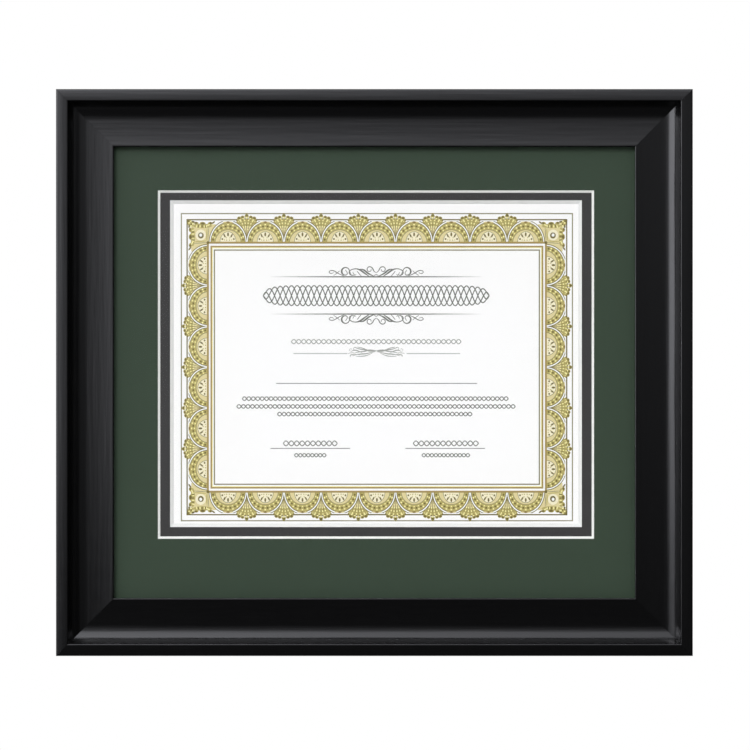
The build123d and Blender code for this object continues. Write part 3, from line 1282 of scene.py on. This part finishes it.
    def corner(self) -> bpy.types.Mesh:
        """Cuts the leafy block in a corner, from the base rule's corner at the origin up to the left.

        Returns:
            The block's die.
        """
        die = Die()
        side = (self.second_rule[0] - self.base_rule[0]) / 2
        rise = (self.second_rule[1] - self.base_rule[1]) / 2
        die.bar(-0.21 * side, 0.4 * rise, 1.2 * side, 0.8 * rise, Tone.TAN)
        die.bar(-0.4 * side, -0.19 * rise, 0.8 * side, 0.38 * rise, Tone.TAN)
        die.ellipse(-4.6, 4.9, 3.3, 3.5, Tone.CREAM, 1, 0.0, 24)
        die.ellipse(-4.5, 4.6, 1.85, 1.95, Tone.DARK, 2, 0.0, 20)
        die.ellipse(-4.6, 4.85, 0.95, 1.05, Tone.WHITE, 3, 0.0, 16)
        leaves = (
            (-3.4, 10.7, 6.2, 1.4, 0, Tone.GOLD, 1),
            (1.3, 12.2, 1.5, 1.1, 20, Tone.GOLD, 2),
            (1.7, 12.5, 0.95, 0.65, 20, Tone.DARK, 3),
            (0.3, 11.2, 1.2, 0.4, 25, Tone.LIGHT, 3),
            (3.4, 12.8, 1.5, 0.5, 35, Tone.DARK, 1),
            (-3.4, 12.1, 2.0, 1.25, 0, Tone.GOLD, 2),
            (-3.3, 12.3, 1.35, 0.75, 0, Tone.DARK, 3),
            (-7.4, 12.4, 1.5, 1.0, -10, Tone.GOLD, 2),
            (-7.6, 12.7, 0.9, 0.6, 0, Tone.DARK, 3),
            (-7.2, 10.5, 0.36, 1.1, -12, Tone.LIGHT, 2),
            (-5.0, 10.5, 0.4, 1.0, -5, Tone.LIGHT, 2),
            (-2.3, 10.6, 0.36, 1.0, 5, Tone.LIGHT, 2),
            (-0.9, 10.5, 0.3, 0.9, 12, Tone.LIGHT, 2),
            (-6.1, 10.6, 0.34, 1.0, -8, Tone.DARK, 2),
            (-3.7, 10.5, 0.36, 1.0, 0, Tone.DARK, 2),
            (-1.5, 10.4, 0.34, 1.0, 8, Tone.DARK, 2),
            (-0.75, 5.2, 0.34, 4.0, -4, Tone.GOLD, 1),
            (0.2, 5.4, 0.2, 4.4, -4, Tone.OLIVE, 2),
            (-9.2, 13.3, 0.7, 0.6, 0, Tone.DARK, 2),
            (-9.6, 12.1, 0.5, 0.6, 0, Tone.LIGHT, 3),
        )
        lean = side / rise
        for x, y, across, up, turn, tone, level in leaves:
            die.ellipse(x, y, across, up, tone, level, turn, 12)
            die.ellipse(-y * lean, -x / lean, up, across, tone, level, -turn, 12)
        die.bar(-0.9 * side, 0.9 * rise, 0.18 * side, 0.18 * rise, Tone.GOLD)
        die.ellipse(-0.82 * side, 0.82 * rise, 2.0, 2.1, Tone.GOLD, 1, 0.0, 16)
        die.ellipse(-0.8 * side, 0.8 * rise, 0.5, 0.55, Tone.DARK, 2, 0.0, 8)
        spots = {
            Tone.LIGHT: ((-0.8, 0.73), (-0.72, 0.83), (-0.9, 0.86), (-0.82, 0.93)),
            Tone.DARK: ((-0.93, 0.93), (-0.9, 0.76), (-0.74, 0.92)),
        }
        for tone, places in spots.items():
            for across, up in places:
                die.ellipse(across * side, up * rise, 0.5, 0.5, tone, 2, 0.0, 8)
        return die.cut("corner_die")

    def rules(self) -> bpy.types.Mesh:
        """Cuts the ruled rectangles and the dots on the corners of the base rule.

        Returns:
            The rules' die.
        """
        die = Die()
        rules = (
            (self.outer_rule, Tone.OLIVE, 0),
            (self.second_rule, Tone.DARK, 0),
            (self.base_rule, Tone.BROWN, 12),
            (self.inner_rule, Tone.BROWN, 0),
            (self.light_rule, Tone.LIGHT, 0),
            (self.thin_rule, Tone.OLIVE, 0),
        )
        for rule, tone, level in rules:
            die.rule_box(*rule, tone, level)
        width, height, line = self.base_rule
        for x, y in product((-width / 2, width / 2), (-height / 2, height / 2)):
            die.ellipse(x, y, 0.8 * line, 0.8 * line, Tone.DARK, 13)
        return die.cut("rules_die")

    def build(self) -> None:
        """Prints the rules, the four rows and the four corners."""
        press = Press(shift=self.shift)
        press.stamp(self.rules(), Matrix.Identity(4))
        fan, palmette, corner = self.fan(), self.palmette(), self.corner()
        width, height, _ = self.base_rule
        stretch = self.pitch_upright / self.pitch_across
        lift = (self.second_rule[0] - width) / (self.second_rule[1] - height)
        across = (height / 2, self.fans_across, self.pitch_across, 1.0, 1.0)
        upright = (width / 2, self.fans_upright, self.pitch_upright, stretch, lift)
        for angle, side in ((0, across), (180, across), (90, upright), (-90, upright)):
            reach, count, pitch, wider, taller = side
            row = Matrix.Rotation(radians(angle), 4, "Z") @ at(0, reach, 0)
            for motif, number, width_factor in ((fan, count, wider), (palmette, count - 1, 1.0)):
                for index in range(number):
                    place = at((index - (number - 1) / 2) * pitch, 0, 0)
                    press.stamp(motif, row @ place @ sized(width_factor, taller, 1))
        for flip_x, flip_y in product((1, -1), (1, -1)):
            place = at(-flip_x * width / 2, flip_y * height / 2, 0)
            press.stamp(corner, place @ sized(flip_x, flip_y, 1))
        press.finish("border_print")


@dataclass
class PenWork:
    """Grey pen strokes, in millimetres: rules, scrolls and waves in the places of the type.

    A rule is its height on the sheet, its middle, its length and its ink. A type row is the same with
    the height of its waves before the ink.
    """

    layers: float = 2.0
    title_rules: tuple[float, float] = (58.0, 34.1)
    title_length: float = 135.8
    title_half_line: float = 0.42
    title_scroll_weight: float = 1.25
    coil_steps: int = 10
    coil_thinning: float = 0.4
    band_middle: float = 45.9
    band_length: float = 145.0
    band_height: float = 13.4
    band_waves: int = 10
    band_strands: int = 4
    band_steps: int = 12
    band_squareness: int = 12
    band_half_line: float = 0.35
    small_scroll_height: float = 8.7
    half_line: float = 0.24
    rules: tuple[tuple[float, float, float, Tone], ...] = (
        (8.7, -35.8, 34.6, Tone.PALE),
        (8.7, 36.7, 34.3, Tone.PALE),
        (-10.4, 0.3, 128.9, Tone.GREY),
        (-52.1, -42.3, 51.0, Tone.GREY),
        (-52.1, 44.3, 51.0, Tone.GREY),
    )
    type_rows: tuple[tuple[float, float, float, float, Tone], ...] = (
        (16.4, 0.0, 109.0, 3.0, Tone.PALE),
        (-20.2, -0.6, 170.8, 2.6, Tone.GREY),
        (-25.2, -0.1, 178.8, 2.6, Tone.GREY),
        (-30.1, -0.9, 125.0, 2.6, Tone.GREY),
        (-48.9, -42.3, 34.7, 3.4, Tone.GREY),
        (-48.9, 44.7, 41.9, 3.4, Tone.GREY),
        (-56.5, -42.3, 20.4, 2.4, Tone.GREY),
        (-56.5, 44.7, 30.8, 2.4, Tone.GREY),
    )
    type_half_line: float = 0.3
    type_wave: float = 2.2
    type_steps: int = 8
    type_fineness: int = 2

    def __post_init__(self) -> None:
        """Starts at the print's middle."""
        self.press = Press()
        self.height = 0.0

    def stroke(self, points: Sequence[Triple], tone: Tone, fineness: int = 4) -> None:
        """One stroke of the pen, whose y counts from the height on the sheet that is set.

        Args:
            points: x, y and half the line's width at each point.
            tone: the ink.
            fineness: how many pieces each stretch of the curve has.
        """
        curve = bpy.data.curves.new("stroke", "CURVE")
        curve.dimensions = "3D"
        curve.resolution_u = fineness
        curve.bevel_depth = 1.0
        curve.bevel_resolution = 0
        curve.use_fill_caps = True
        spline = curve.splines.new("NURBS")
        spline.points.add(len(points) - 1)
        for point, (x, y, half) in zip(spline.points, points):
            point.co = (x, y, 0.0, 1.0)
            point.radius = half
        spline.order_u = 3
        spline.use_endpoint_u = True
        holder = bpy.data.objects.new("stroke", curve)
        mesh = bpy.data.meshes.new_from_object(holder)
        for face in mesh.polygons:
            face.material_index = tone.number
        self.press.stamp(mesh, at(0, self.height, 0) @ sized(1.0, 1.0, self.layers))
        bpy.data.objects.remove(holder)
        bpy.data.curves.remove(curve)
        bpy.data.meshes.remove(mesh)

    def mirrored(self, points: Sequence[Triple], tone: Tone) -> None:
        """A stroke and its mirror image about the middle line."""
        self.stroke(points, tone)
        self.stroke([(-x, y, half) for x, y, half in points], tone)

    def tapered_rule(self, length: float, half: float, tone: Tone) -> None:
        """A rule that thins out towards both ends.

        Args:
            length: its length.
            half: half its width near the middle.
            tone: its ink.
        """
        shares = (-0.5, -0.35, -0.15, 0.0, 0.15, 0.35, 0.5)
        points = [(share * length, 0.0, half * (1.06 - 4 * share * share)) for share in shares]
        self.stroke(points, tone)

    def even_rule(self, x: float, length: float, tone: Tone) -> None:
        """A rule of one width."""
        shares = (-0.5, -0.25, 0.0, 0.25, 0.5)
        self.stroke([(x + share * length, 0.0, self.half_line) for share in shares], tone)

    def coil(
        self, x: float, y: float, start: float, end: float, radius: float, shrink: float, half: float
    ) -> list[Triple]:
        """A curl that winds in from one angle to another.

        Args:
            x: its middle across the sheet.
            y: its middle up the sheet.
            start: the angle that it starts at, in degrees.
            end: the angle that it ends at, in degrees.
            radius: its radius at the start.
            shrink: the share of the radius that it loses on the way.
            half: half the line's width at the start.

        Returns:
            x, y and half the line's width at each point.
        """
        points = []
        for step in range(self.coil_steps + 1):
            share = step / self.coil_steps
            angle = radians(start + (end - start) * share)
            reach = radius * (1 - shrink * share)
            thinner = half * (1 - self.coil_thinning * share)
            points.append((x + reach * cos(angle), y + reach * sin(angle), thinner))
        return points

    def title_scroll(self, up: int) -> None:
        """The scrollwork on a title rule.

        Args:
            up: 1 where it rises from the rule, -1 where it hangs.
        """
        def lay(points: Sequence[Triple]) -> None:
            """Draws both halves of a stroke, turned over where the scroll hangs."""
            weight = self.title_scroll_weight
            self.mirrored([(x, up * y, weight * half) for x, y, half in points], Tone.GREY)

        curl = self.coil(4.3, 4.7, 150, -190, 2.0, 0.45, 0.26)
        lay([(-1.5, 0.5, 0.12), (0.0, 2.3, 0.2), (1.5, 0.5, 0.12)])
        lay([(0.0, 2.6, 0.12), (1.6, 3.6, 0.24), (2.2, 5.4, 0.28), *curl])
        lay([(1.6, 0.5, 0.15), (4.4, 1.5, 0.4), (7.0, 3.8, 0.45), (9.0, 5.0, 0.28), (10.7, 4.9, 0.12)])
        lay([(4.6, 0.4, 0.15), (7.4, 2.2, 0.42), (9.8, 4.2, 0.42), (12.6, 5.3, 0.25), (15.6, 4.9, 0.22),
             (17.6, 3.3, 0.24), (17.0, 1.4, 0.24), (14.6, 0.8, 0.18), (12.8, 1.5, 0.1)])
        lay([(9.5, 0.4, 0.1), (11.5, 2.4, 0.26), (12.2, 3.7, 0.12)])
        lay([(13.4, 0.6, 0.1), (14.6, 1.8, 0.2), (15.0, 3.0, 0.1)])
        lay([(15.6, 0.5, 0.1), (16.8, 2.6, 0.2), (17.4, 5.0, 0.24), (19.5, 6.3, 0.26), (21.8, 5.2, 0.4),
             (22.4, 3.0, 0.44), (21.2, 1.2, 0.3), (19.0, 1.0, 0.2), (18.2, 2.6, 0.2), (19.8, 4.4, 0.12)])
        lay([(20.6, 0.5, 0.12), (24.2, 1.9, 0.24), (27.2, 4.1, 0.24), (29.8, 4.0, 0.2), (30.4, 2.8, 0.2),
             (28.8, 1.8, 0.18), (27.2, 2.8, 0.1)])
        lay([(23.4, 3.9, 0.12), (25.4, 2.0, 0.22), (27.4, 0.8, 0.1)])

    def small_scroll(self) -> None:
        """The small spread scroll between the two short rules."""
        strokes = (
            ((0.1, 1.8, 0.3), (3.4, 1.3, 0.48), (7.0, 2.6, 0.5), (10.4, 2.7, 0.3), (13.4, 3.9, 0.18)),
            ((0.1, 1.7, 0.3), (4.0, 2.7, 0.34), (7.6, 1.3, 0.42), (11.2, 1.2, 0.28), (14.4, 0.2, 0.14)),
            ((0.6, 1.2, 0.12), (4.2, 0.5, 0.28), (7.6, -0.3, 0.42), (11.4, -0.2, 0.3), (15.2, -1.4, 0.14)),
            ((2.4, 0.4, 0.1), (5.6, -1.2, 0.28), (9.2, -1.8, 0.34), (13.0, -1.7, 0.14)),
            ((6.8, 2.9, 0.1), (9.6, 3.9, 0.38), (12.2, 4.2, 0.14)),
            ((9.0, 0.5, 0.1), (11.6, 1.9, 0.38), (14.6, 2.4, 0.34), (16.2, 1.2, 0.12)),
            ((13.2, 0.3, 0.1), (15.8, 0.9, 0.3), (18.2, 0.0, 0.12)),
            ((12.4, -0.6, 0.1), (15.0, -0.4, 0.32), (17.2, -1.2, 0.28), (16.4, -2.1, 0.1)),
            ((8.4, 0.3, 0.1), (10.0, -0.9, 0.3), (12.2, -0.6, 0.12)),
        )
        for points in strokes:
            self.mirrored(points, Tone.PALE)
        for curl in ((13.6, 3.0, 150, -120, 1.2, 0.4, 0.2), (16.4, 2.2, 140, -100, 1.0, 0.4, 0.18)):
            self.mirrored(self.coil(*curl), Tone.PALE)

    @staticmethod
    def wave(length: float, waves: int, fineness: int, phase: float) -> list[Triple]:
        """One long wave, sampled evenly.

        Args:
            length: its length.
            waves: the number of waves in it.
            fineness: the number of steps in each of those.
            phase: the angle that it starts at.

        Returns:
            At each step the place from the middle, the swing between -1 and 1, and the share of the length.
        """
        shares = [step / (fineness * waves) for step in range(fineness * waves + 1)]
        return [((s - 0.5) * length, sin(2 * pi * waves * s + phase), s) for s in shares]

    def wave_band(self) -> None:
        """A band of crossing waves that is rounded off at both ends, in the title's place."""
        for strand in range(self.band_strands):
            phase = pi * 2 * strand / self.band_strands
            points = []
            for x, swing, share in self.wave(self.band_length, self.band_waves, self.band_steps, phase):
                reach = self.band_height / 2 * (1 - abs(2 * share - 1) ** self.band_squareness) ** 0.5
                points.append((x, reach * swing, self.band_half_line))
            self.stroke(points, Tone.GREY)

    def wave_row(self, x: float, length: float, height: float, tone: Tone) -> None:
        """A fine row of two crossing waves, in the place of a line of small type.

        Args:
            x: the row's middle.
            length: its length.
            height: the height of its waves.
            tone: its ink.
        """
        waves = round(length / (self.type_wave * height))
        for phase in (0.0, pi):
            wave = self.wave(length, waves, self.type_steps, phase)
            points = [(x + place, 0.5 * height * swing, self.type_half_line) for place, swing, _ in wave]
            self.stroke(points, tone, self.type_fineness)

    def build(self) -> None:
        """Draws all the pen work of the sheet."""
        for height, up in zip(self.title_rules, (1, -1)):
            self.height = height
            self.tapered_rule(self.title_length, self.title_half_line, Tone.GREY)
            self.title_scroll(up)
        self.height = self.band_middle
        self.wave_band()
        self.height = self.small_scroll_height
        self.small_scroll()
        for height, *rule in self.rules:
            self.height = height
            self.even_rule(*rule)
        for height, *row in self.type_rows:
            self.height = height
            self.wave_row(*row)
        self.press.finish("centre_print")


# Hardware on the back


@dataclass
class Hardware:
    """Steel and rubber pieces on the back of the rails."""

    smooth_edge: float = 0.12 * MM
    sharp_degrees: float = 40.0
    flat_degrees: float = 1.0
    recess_depth: float = 0.9 * MM
    recess_reach: float = 1.7 * MM
    recess_width: float = 0.55 * MM
    recess_taper: float = 0.6
    head_radius: float = 3.0 * MM
    head_height: float = 1.6 * MM
    head_edge: float = 0.5 * MM
    head_facing: float = 0.3
    dome_steps: int = 6
    head_sides: int = 28
    button_sheet: float = 1.2 * MM
    nail_leg: float = 5.5 * MM
    nail_strip: float = 0.6 * MM
    nail_half_angle: float = 55.0
    nail_places: tuple[float, float] = (0.34, 0.66)
    nail_proud: float = 0.04 * MM
    back_face: float = 30.8 * MM
    bumper_edge: float = 0.8 * MM
    bumper_steps: int = 4
    bumper_sides: int = 48

    def refined(self, node: str, name: str, finish: Finish, slot: str, body: str = ROOT) -> None:
        """A merged copy of a CAD piece with its sharp edges rounded.

        Args:
            node: the CAD node.
            name: the new piece's name.
            finish: its finish.
            slot: the record's slot.
            body: the body that it rides on.
        """
        bm = bmesh.new()
        bm.from_mesh(frame["nodes"][node].data)
        bmesh.ops.remove_doubles(bm, verts=bm.verts, dist=NEAR)
        bmesh.ops.dissolve_limit(bm, angle_limit=radians(self.flat_degrees), verts=bm.verts, edges=bm.edges)
        soften(bm, sharp_edges(bm, radians(self.sharp_degrees)), self.smooth_edge)
        SHOP.piece(bm, name, [finish], slot, body, [node])

    def screw_head(self, bm: bmesh.types.BMesh, x: float, y: float, z: float) -> None:
        """A pan head with a cross recess on a button's face.

        Args:
            bm: the mesh to add it to.
            x: the screw's place along the width.
            y: the face that the head bears on.
            z: the screw's height.
        """
        part = bmesh.new()
        dome_rise = self.head_height - self.head_edge
        dome_radius = (self.head_radius ** 2 + dome_rise ** 2) / (2 * dome_rise)
        top = part.verts.new((0, 0, self.head_height))
        centre = (0, 0, self.head_height - dome_radius)
        span = asin(self.head_radius / dome_radius)
        arc = bmesh.ops.spin(
            part, geom=[top], cent=centre, axis=(0, 1, 0), angle=span, steps=self.dome_steps
        )
        rim = points_in(arc["geom_last"])[0]
        foot = bmesh.ops.extrude_vert_indiv(part, verts=[rim])["verts"][0]
        foot.co.z = 0.0
        inner = bmesh.ops.extrude_vert_indiv(part, verts=[foot])["verts"][0]
        inner.co.x = 0.0
        bmesh.ops.spin(
            part, geom=part.verts[:] + part.edges[:], cent=(0, 0, 0), axis=(0, 0, 1), angle=2 * pi,
            steps=self.head_sides, use_merge=True,
        )
        bmesh.ops.remove_doubles(part, verts=part.verts, dist=WELD)
        offsets = (-self.recess_reach, -self.recess_width, self.recess_width, self.recess_reach)
        for normal, offset in product((Vector((1, 0, 0)), Vector((0, 1, 0))), offsets):
            slice_mesh(part, normal * offset, normal)
        bmesh.ops.recalc_face_normals(part, faces=part.faces)
        cross = []
        for face in part.faces:
            narrow, wide = sorted(abs(way) for way in face.calc_center_median().xy)
            in_cross = narrow < self.recess_width and wide < self.recess_reach
            if in_cross and face.normal.z > self.head_facing:
                cross.append(face)
        sunk = bmesh.ops.extrude_face_region(part, geom=cross)
        verts = points_in(sunk["geom"])
        bmesh.ops.translate(part, vec=(0, 0, -self.recess_depth), verts=verts)
        bmesh.ops.scale(part, vec=(self.recess_taper, self.recess_taper, 1.0), verts=verts)
        outwards = at(x, y, z) @ Matrix.Rotation(radians(-90), 4, "X")
        bmesh.ops.transform(part, matrix=outwards, verts=part.verts)
        mesh = end_mesh(part, "screw")
        bm.from_mesh(mesh)
        bpy.data.meshes.remove(mesh)

    def screws(self) -> None:
        """The eight screw heads, at the turn buttons' joints."""
        bm = bmesh.new()
        for joint in frame["joints"]:
            x, y, z = joint["pos_m"]
            self.screw_head(bm, x, y + self.button_sheet, z)
        SHOP.piece(bm, "pan_head_screws", [ZINC], "zinc_screw", replaces=["button_screws"], recalculate=False)

    def corner_nails(self) -> None:
        """V-shaped nails across the mitres, a hair proud of the wood."""
        low, high = outside()
        nail_low, nail_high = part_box("v_nails")
        depth = nail_high.y - nail_low.y
        middle_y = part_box("rail_top")[1].y - depth / 2 + self.nail_proud
        across, up = ((1, low.x), (-1, high.x)), ((1, low.z), (-1, high.z))
        bm = bmesh.new()
        for (side_x, edge_x), (side_z, edge_z) in product(across, up):
            for share, leg in product(self.nail_places, (-1, 1)):
                inward = share * self.back_face
                verts = bmesh.ops.create_cube(bm, size=1.0)["verts"]
                bmesh.ops.scale(bm, vec=(self.nail_leg, depth, self.nail_strip), verts=verts)
                beside = (self.nail_leg / 2, 0, leg * self.nail_strip / 2)
                bmesh.ops.translate(bm, vec=beside, verts=verts)
                turn = Matrix.Rotation(-radians(45 + leg * self.nail_half_angle), 4, "Y")
                corner = at(edge_x + side_x * inward, middle_y, edge_z + side_z * inward)
                bmesh.ops.transform(bm, matrix=corner @ sized(side_x, 1.0, side_z) @ turn, verts=verts)
        SHOP.piece(bm, "corner_v_nails", [BARE_STEEL], "bare_steel", replaces=["v_nails"])

    def bumper(self, side: str) -> None:
        """A round rubber bumper with a softly domed rim.

        Args:
            side: left or right, as the CAD node is named.
        """
        node = "bumper_" + side
        low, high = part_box(node)
        radius, depth = (high.x - low.x) / 2, high.y - low.y
        bm = bmesh.new()
        bmesh.ops.create_cone(
            bm, cap_ends=True, segments=self.bumper_sides, radius1=radius, radius2=radius, depth=depth
        )
        rim = [edge for edge in bm.edges if all(vert.co.z > 0 for vert in edge.verts)]
        soften(bm, rim, self.bumper_edge, self.bumper_steps)
        middle = (low + high) / 2
        bmesh.ops.transform(bm, matrix=at(*middle) @ Matrix.Rotation(radians(-90), 4, "X"), verts=bm.verts)
        SHOP.piece(bm, "rubber_" + node, [SoftRubber()], "black_rubber", replaces=[node])

    def build(self) -> None:
        """Builds all the hardware."""
        for node in frame["nodes"]:
            if node.startswith("turn_button_"):
                self.refined(node, "pressed_" + node, BLACK_STEEL, "black_steel", node)
        self.refined("sawtooth_hanger", "bridged_sawtooth_hanger", BRASS, "brassed_steel")
        self.refined("hanger_nails", "brass_hanger_nails", BRASS, "brassed_steel")
        self.screws()
        self.corner_nails()
        self.bumper("left")
        self.bumper("right")


# Floor, light and camera


@dataclass(frozen=True)
class Ramp:
    """A strength that changes evenly along a way, between a least and a most."""

    start: float
    change: float
    least: float
    most: float

    def along(self, place: Wire) -> Wire:
        """The strength at a place."""
        return (self.start + self.change * place).clamp(self.least, self.most)


@dataclass(frozen=True)
class Glow:
    """A brightness that grows with the square and the cube of a distance, up to a most."""

    square: float
    cube: float
    most: float

    def at_distance(self, distance: Wire) -> Wire:
        """The brightness at a distance."""
        return (distance * distance * (self.square + self.cube * distance)).clamp(0.0, self.most)


@dataclass
class Studio:
    """A pale floor under the hung frame, even light, a card for the sheen and the photograph's camera.

    Places on the card are in metres to the right of and above the frame's middle. Its brightness is 1
    where gloss mirrors white.
    """

    picture: int = 750
    frame_px: float = 637.0
    centre_px: tuple[float, float] = (374.4, 372.55)
    distance: float = 6.0
    sensor: float = 36.0
    floor_drop: float = 0.80
    floor_radius: float = 1.6
    floor_sides: int = 96
    floor_tint: tuple[float, float, float, float] = (0.93, 0.93, 0.93, 1.0)
    floor_roughness: float = 0.85
    floor_fade: Ramp = Ramp(2.28, -1.6, 0.0, 1.0)
    sun_aside: float = 0.22
    sun_rise: float = 0.40
    sun_spread: float = 26.0
    sun_share: float = 0.56
    front_share: float = 0.44
    wall_share: float = 0.9
    front_gloss: float = 0.03
    behind: Ramp = Ramp(-0.72, 6.0, 0.0, 1.0)
    card_gap: float = 1.0
    card_reach: float = 7.0
    card_tint: Triple = (0.97, 0.98, 1.05)
    leftwards: Ramp = Ramp(0.0, -1.0, 0.0, 3.0)
    upwards: Ramp = Ramp(0.0, 1.0, 0.0, 3.0)
    dusk_up: Ramp = Ramp(0.16, 0.5, 0.055, 0.24)
    dusk_right: Ramp = Ramp(2.4, -2.2, 0.2, 1.2)
    side_glow: Glow = Glow(1.05, 3.4, 3.7)
    side_glow_up: Ramp = Ramp(1.395, 9.0, 0.1, 1.0)
    top_glow: Glow = Glow(1.1, 4.6, 2.1)
    top_glow_right: Ramp = Ramp(0.9, -1.0, 0.4, 1.2)

    def __post_init__(self) -> None:
        """Finds the middle of the frame's front."""
        low, high = outside()
        self.width = high.x - low.x
        self.middle = Vector(((low.x + high.x) / 2, low.y, (low.z + high.z) / 2))

    def camera(self) -> None:
        """A long lens square on to the frame, aimed as the photograph is framed."""
        scale = self.width / self.frame_px
        across, down = (scale * (self.picture / 2 - place) for place in self.centre_px)
        data = bpy.data.cameras.new("studio_camera")
        data.sensor_width = self.sensor
        data.lens = self.sensor * self.distance / (self.picture * scale)
        camera = put("studio_camera", data)
        camera.location = self.middle + Vector((across, -self.distance, -down))
        camera.rotation_euler = (radians(90), 0, 0)
        bpy.context.scene.camera = camera

    def sun(self) -> None:
        """A broad far light from the upper left, which shades the bevels and leaves no mirror image."""
        towards = Vector((-self.sun_aside, -1.0, self.sun_rise)).normalized()
        data = bpy.data.lights.new("far_light", "SUN")
        data.angle = radians(self.sun_spread)
        data.energy = pi * self.sun_share / -towards.y
        lamp = put("far_light", data)
        lamp.matrix_world = towards.to_track_quat("Z", "Y").to_matrix().to_4x4()
        lamp.visible_glossy = False

    @staticmethod
    def sheet(bm: bmesh.types.BMesh, name: str) -> tuple[bpy.types.Object, Recipe]:
        """Makes a flat sheet from a mesh, and an empty material for it under the same name.

        Args:
            bm: the mesh, which is freed.
            name: the sheet's name.

        Returns:
            The sheet and its material's node tree.
        """
        sheet = put(name, end_mesh(bm, name))
        material = bpy.data.materials.new(name)
        sheet.data.materials.append(material)
        return sheet, Recipe(material)

    def card(self) -> None:
        """A large shaded card in front, seen only as the sheen of gloss: bright far left and far up."""
        bm = bmesh.new()
        turn = Matrix.Rotation(radians(90), 4, "X")
        bmesh.ops.create_grid(bm, x_segments=1, y_segments=1, size=self.card_reach, matrix=turn)
        card, recipe = self.sheet(bm, "sheen_card")
        card.location = self.middle + Vector((0, -self.card_gap, 0))
        card.visible_camera = card.visible_diffuse = card.visible_shadow = False
        card.visible_transmission = False
        x, _, z = recipe.axes()
        dusk = self.dusk_up.along(z) * self.dusk_right.along(x)
        side_glow = self.side_glow.at_distance(self.leftwards.along(x)) * self.side_glow_up.along(z)
        top_glow = self.top_glow.at_distance(self.upwards.along(z)) * self.top_glow_right.along(x)
        glow = dusk + side_glow + top_glow
        tint = recipe.node("CombineXYZ", {index: part * glow for index, part in enumerate(self.card_tint)})
        recipe.end(recipe.node("Emission", {"Color": recipe.wire(tint)}))

    def world(self) -> None:
        """White for the camera, nearly black in front for gloss, and an even studio for the light."""
        world = bpy.data.worlds.new("studio")
        bpy.context.scene.world = world
        recipe = Recipe(world)
        behind = self.behind.along(recipe.axes("Generated")[1])
        path = recipe.node("LightPath")
        camera = recipe.wire(path, "Is Camera Ray")
        glossy, through = recipe.wire(path, "Is Glossy Ray"), recipe.wire(path, "Is Transmission Ray")
        shown = (glossy + through).clamp(0.0, 1.0)
        gloss = self.front_gloss + (1.0 - self.front_gloss) * behind
        diffuse = self.front_share + (self.wall_share - self.front_share) * behind
        studio = shown * gloss + (1.0 - shown) * diffuse
        strength = camera + (1.0 - camera) * studio
        background = recipe.node("Background", {"Color": (1, 1, 1, 1), "Strength": strength})
        recipe.end(background, "OutputWorld")

    def floor(self) -> None:
        """A round pale floor that fades out at its rim."""
        low, high = CAD_BOX
        bm = bmesh.new()
        centre = at((low[0] + high[0]) / 2, (low[1] + high[1]) / 2, low[2] - self.floor_drop)
        bmesh.ops.create_circle(
            bm, cap_ends=True, segments=self.floor_sides, radius=self.floor_radius, matrix=centre
        )
        floor, recipe = self.sheet(bm, "studio_floor")
        floor.visible_glossy = False
        x, y, _ = recipe.axes()
        flat = recipe.node("CombineXYZ", {0: x, 1: y})
        reach = recipe.node("VectorMath", {0: recipe.wire(flat)}, operation="LENGTH")
        fade = self.floor_fade.along(recipe.wire(reach, "Value"))
        recipe.principled({"Base Color": self.floor_tint, "Roughness": self.floor_roughness, "Alpha": fade})

    def build(self) -> None:
        """Sets up the studio."""
        bpy.context.scene.view_settings.view_transform = "Standard"
        self.camera()
        self.world()
        self.floor()
        self.sun()
        self.card()


def main() -> None:
    """Builds the classes in order."""
    logging.basicConfig(level=logging.INFO, format="%(message)s")
    Moulding().build()
    Package().build()
    Mats().build()
    LaceBorder().build()
    PenWork().build()
    Hardware().build()
    Studio().build()


if __name__ == "__main__":
    main()
